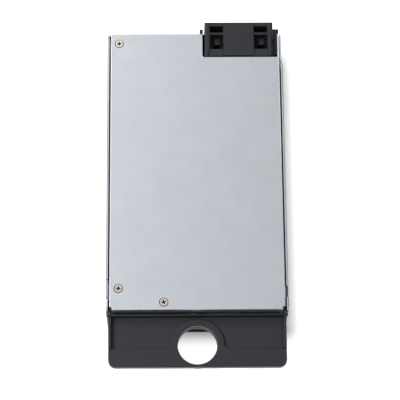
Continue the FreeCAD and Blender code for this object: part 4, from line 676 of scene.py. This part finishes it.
# %% Handle: bar and boss
shape = bmesh.new()
fillet_y = step_y + foot_round
reach = boss_radius + foot_round
fillet_x = math.sqrt(reach ** 2 - (fillet_y - hole_y) ** 2)
lean = math.degrees(math.asin((fillet_y - hole_y) / reach))
tip = pen_at(shape, -handle_half, step_y, foot_z)
tip = line_to(shape, tip, -fillet_x, step_y)
tip = arc_about(shape, tip, -fillet_x, fillet_y, 90 - lean, 10)
tip = arc_about(shape, tip, 0, hole_y, -(180 - 2 * lean), 64)
tip = arc_about(shape, tip, fillet_x, fillet_y, 90 - lean, 10)
tip = line_to(shape, tip, handle_half, step_y)
tip = line_to(shape, tip, handle_half, front_y + corner_round)
tip = arc_about(shape, tip, handle_half - corner_round, front_y + corner_round, -90, 12)
tip = line_to(shape, tip, -handle_half + corner_round, front_y)
tip = arc_about(shape, tip, -handle_half + corner_round, front_y + corner_round, -90, 12)
line_to(shape, tip, -handle_half, step_y)
bmesh.ops.create_circle(shape, cap_ends=False, segments=96, radius=hole_radius * mm,
                        matrix=Matrix.Translation(Vector((0, hole_y, foot_z)) * mm))
rims = fill_and_raise(shape, bar_z - foot_z)
hole_rim = [e for e in rims if max((v.co.xy / mm - Vector((0, hole_y))).length for v in e.verts)
            < hole_radius + 0.1]
outer_rim = [e for e in rims if e not in hole_rim]
print("rim edges:", len(outer_rim), "and", len(hole_rim))
shade(shape)
for edges, width in ((outer_rim, outer_edge_round), (hole_rim, hole_edge_round)):
    made = bmesh.ops.bevel(shape, geom=edges, offset=width * mm, offset_type="OFFSET", segments=4,
                           profile=0.5, affect="EDGES", material=-1)
    for face in made["faces"]:
        face.smooth = True
handle = shape

# %% [markdown]
# ## The handle's floor
# The floor is a thinner plate behind the bar. Its outline runs a little under the bar and round
# inside the boss, so that no gap can open, and leaves the finger hole free.

# %% Handle: floor
shape = bmesh.new()
hidden_radius = (hole_radius + boss_radius) / 2
under_bar = 1
strip_y = step_y - under_bar
dip = math.asin((hole_y - strip_y) / hidden_radius)
inner_x = hidden_radius * math.cos(dip)
tip = pen_at(shape, -handle_half, strip_y, foot_z)
tip = line_to(shape, tip, -inner_x, strip_y)
tip = arc_about(shape, tip, 0, hole_y, -(180 + 2 * math.degrees(dip)), 64)
tip = line_to(shape, tip, handle_half, strip_y)
tip = line_to(shape, tip, handle_half, rear_y)
tip = line_to(shape, tip, -handle_half, rear_y)
line_to(shape, tip, -handle_half, strip_y)
fill_and_raise(shape, floor_z - foot_z)
join(handle, shape)
print("floor", round(bar_z - floor_z, 2), "mm below the bar")

# %% [markdown]
# ## Collar, rails and screw blocks
# A collar under the finger hole gives the finger a deeper grip. Each side has a low rail on top, and
# underneath a block that takes the screw from the front wall, with a gusset that runs out forward.
# The gusset is the block cut by a sloping plane, and the cut is closed again.

# %% Handle: collar
collar_wall, block_width, block_foot, block_length, gusset = 1.1, 4.6, 27.6, 11.5, 9.0
overlap = 0.2
shape = bmesh.new()
for radius in (hole_radius, hole_radius + collar_wall):
    bmesh.ops.create_circle(shape, cap_ends=False, segments=96, radius=radius * mm,
                            matrix=Matrix.Translation(Vector((0, hole_y, block_foot)) * mm))
fill_and_raise(shape, foot_z + overlap - block_foot)
shade(shape)
join(handle, shape)

# %% Handle: rails and screw blocks
rail_width, rail_overlap, rail_lift, block_overlap = 1.6, 0.4, 0.02, 0.5
for side in (-1, 1):
    edge, inner = side * handle_half, side * (handle_half - rail_width)
    box(handle, (min(edge, inner), step_y - rail_overlap, foot_z + rail_lift),
        (max(edge, inner), rear_y, rail_z))
    inner = side * (handle_half - block_width)
    block = bmesh.new()
    box(block, (min(edge, inner), rear_y - block_length - gusset, block_foot),
        (max(edge, inner), rear_y, foot_z + block_overlap))
    slope = Vector((0, -(foot_z - block_foot), -gusset))
    cut = bmesh.ops.bisect_plane(block, geom=block.verts[:] + block.edges[:] + block.faces[:],
                                 plane_co=Vector((0, rear_y - block_length, block_foot)) * mm,
                                 plane_no=slope, clear_outer=True)
    rim = [item for item in cut["geom_cut"] if isinstance(item, bmesh.types.BMEdge)]
    bmesh.ops.holes_fill(block, edges=rim)
    join(handle, block)
shown_piece(handle, "moulded_pull_handle", "pull_handle")

# %% [markdown]
# ## The output connector
# The housing is moulded in glass-filled plastic, with two windows over its blade sockets. A smooth
# plate lies between the windows, a rib runs along each side, and a low pad closes the front of each
# window. They are thin blocks with soft edges, set on the copy of the CAD housing. A tongue at the
# left closes the gap to the case. The blocks seen in the windows are the CAD housing's own. On the
# real connector they stand further back, so their points are shifted along Y.

# %% Output connector: the housing, places in mm
low, high = [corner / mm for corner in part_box("output_connector")]
body_left, body_right = 5.6, 45.4
middle = (body_left + body_right) / 2
socket_low, socket_high = Vector((10, 75, 29)), Vector((15, 80, 35))
socket_shift, housing_round = 2.9, 0.18
shape = merged_copy("output_connector")
for vertex in shape.verts:
    x, y, z = vertex.co / mm
    place = Vector((abs(x - middle), y, z))
    if all(socket_low[k] < place[k] < socket_high[k] for k in range(3)):
        vertex.co.y += socket_shift * mm
round_sharp_edges(shape, housing_round)

# %% Output connector: ribs, pads, plate and tongue, places in mm
raised, sunk, inset, soft = high.z + 0.6, 0.5, 0.3, 0.2
rib_inner, rib_outer, pad_inner, pad_outer = 17.3, 18.9, 8.9, 16.7
pad_length, pad_depth, pad_lift, plate_half = 4.6, 5, 0.15, 8.7
tongue_start, tongue_end, tongue_reach, tongue_root = 82.2, 83.4, 1.3, 0.1
tongue_foot, tongue_top = low.z + 0.5, high.z - 0.2
start, end = low.y + inset, high.y - inset
for side in (-1, 1):
    left, right = sorted((middle + side * rib_inner, middle + side * rib_outer))
    box(shape, (left, start, high.z - sunk), (right, end, raised), soft)
    left, right = sorted((middle + side * pad_inner, middle + side * pad_outer))
    box(shape, (left, start, high.z - pad_depth), (right, low.y + pad_length, high.z + pad_lift), soft)
box(shape, (middle - plate_half, start, high.z - sunk), (middle + plate_half, end, raised), soft)
box(shape, (body_left - tongue_reach, tongue_start, tongue_foot),
    (body_left + tongue_root, tongue_end, tongue_top), soft)
shown_piece(shape, "soft_output_connector", "output_connector")

# %% [markdown]
# ## The lid's screws
# Three countersunk screws hold the lid. Each head is nearly flush, with a cross recess that tapers
# as it goes down. A texture of a cross would look flat, and a cut with a boolean leaves poor faces.
# The head is drawn as a disc with a cross-shaped hole, the cross is extruded
# inwards with a taper, and the disc's rim is extruded down the countersink. The recess and the rim
# down the countersink are a dark brown metal: painted shade in the deep cross and in the gap round
# the head.

# %% Lid screws: sizes in mm, and one head
head_radius, flat_radius, shank_radius = 2.62, 2.12, 1.4
slot_half, slot_reach, recess_depth = 0.40, 1.28, 1.1
rim_drop, cone_drop, cone_end = 0.30, 0.70, 1.5
# The dark brown metal of the recess and the rim is painted shade.
screw_painted_shade_metal = plated_metal("screw_recess_painted_shade", "4A3C34", 0.5, 0.3)


def extrude_rim(shape, edges, scale, drop_mm):
    """Extrudes a loop of edges, scales it about the Z axis and lowers it. Returns the new edges."""
    made = bmesh.ops.extrude_edge_only(shape, edges=edges)["geom"]
    points = [item for item in made if isinstance(item, bmesh.types.BMVert)]
    bmesh.ops.scale(shape, verts=points, vec=(scale, scale, 1))
    bmesh.ops.translate(shape, verts=points, vec=(0, 0, -drop_mm * mm))
    return [item for item in made if isinstance(item, bmesh.types.BMEdge)]


def countersunk_head():
    """One screw head about the origin, its face at Z 0, with the rim and recess in material 1, the
    painted shade.
    """
    shape = bmesh.new()
    corners = [(slot_half, slot_half), (slot_reach, slot_half), (slot_reach, -slot_half),
               (slot_half, -slot_half), (slot_half, -slot_reach), (-slot_half, -slot_reach),
               (-slot_half, -slot_half), (-slot_reach, -slot_half), (-slot_reach, slot_half),
               (-slot_half, slot_half), (-slot_half, slot_reach), (slot_half, slot_reach)]
    tip = pen_at(shape, *corners[0], 0)
    for x, y in corners[1:] + corners[:1]:
        tip = line_to(shape, tip, x, y)
    bmesh.ops.remove_doubles(shape, verts=shape.verts, dist=0.01 * mm)
    cross = shape.edges[:]
    bmesh.ops.create_circle(shape, cap_ends=False, segments=48, radius=flat_radius * mm)
    circle = [edge for edge in shape.edges if edge not in cross]
    bmesh.ops.triangle_fill(shape, edges=shape.edges, use_beauty=True, normal=(0, 0, 1))
    before = set(shape.faces)
    rim = extrude_rim(shape, circle, head_radius / flat_radius, rim_drop)
    rim = extrude_rim(shape, rim, cone_end / head_radius, cone_drop)
    bmesh.ops.holes_fill(shape, edges=rim)
    rim = extrude_rim(shape, cross, 0.80, recess_depth * 0.6)
    rim = extrude_rim(shape, rim, 0.45, recess_depth * 0.4)
    bmesh.ops.holes_fill(shape, edges=rim)
    # Every face but the flat top, the rim and the whole recess, takes the painted shade.
    for face in shape.faces:
        if face not in before:
            face.material_index = 1
    bmesh.ops.recalc_face_normals(shape, faces=shape.faces)
    shade(shape)
    return shape


# %% Lid screws: three heads in place, each turned as it was driven
screw_low, screw_high = [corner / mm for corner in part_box("cover_screws")]
shank_length = 4.6
screws = bmesh.new()
for x, y, turn in ((-43.8, 77.0, 8), (-43.6, -70.7, -12), (-18.5, -78.65, 20)):
    head = countersunk_head()
    bmesh.ops.rotate(head, verts=head.verts, matrix=Matrix.Rotation(math.radians(turn), 3, "Z"))
    bmesh.ops.translate(head, verts=head.verts, vec=Vector((x, y, screw_high.z)) * mm)
    shank_middle = Vector((x, y, screw_low.z + shank_length / 2)) * mm
    bmesh.ops.create_cone(head, cap_ends=True, segments=24, radius1=shank_radius * mm,
                          radius2=shank_radius * mm, depth=shank_length * mm,
                          matrix=Matrix.Translation(shank_middle))
    join(screws, head)
shown_piece(screws, "lid_screws", "cover_screws").data.materials.append(screw_painted_shade_metal)
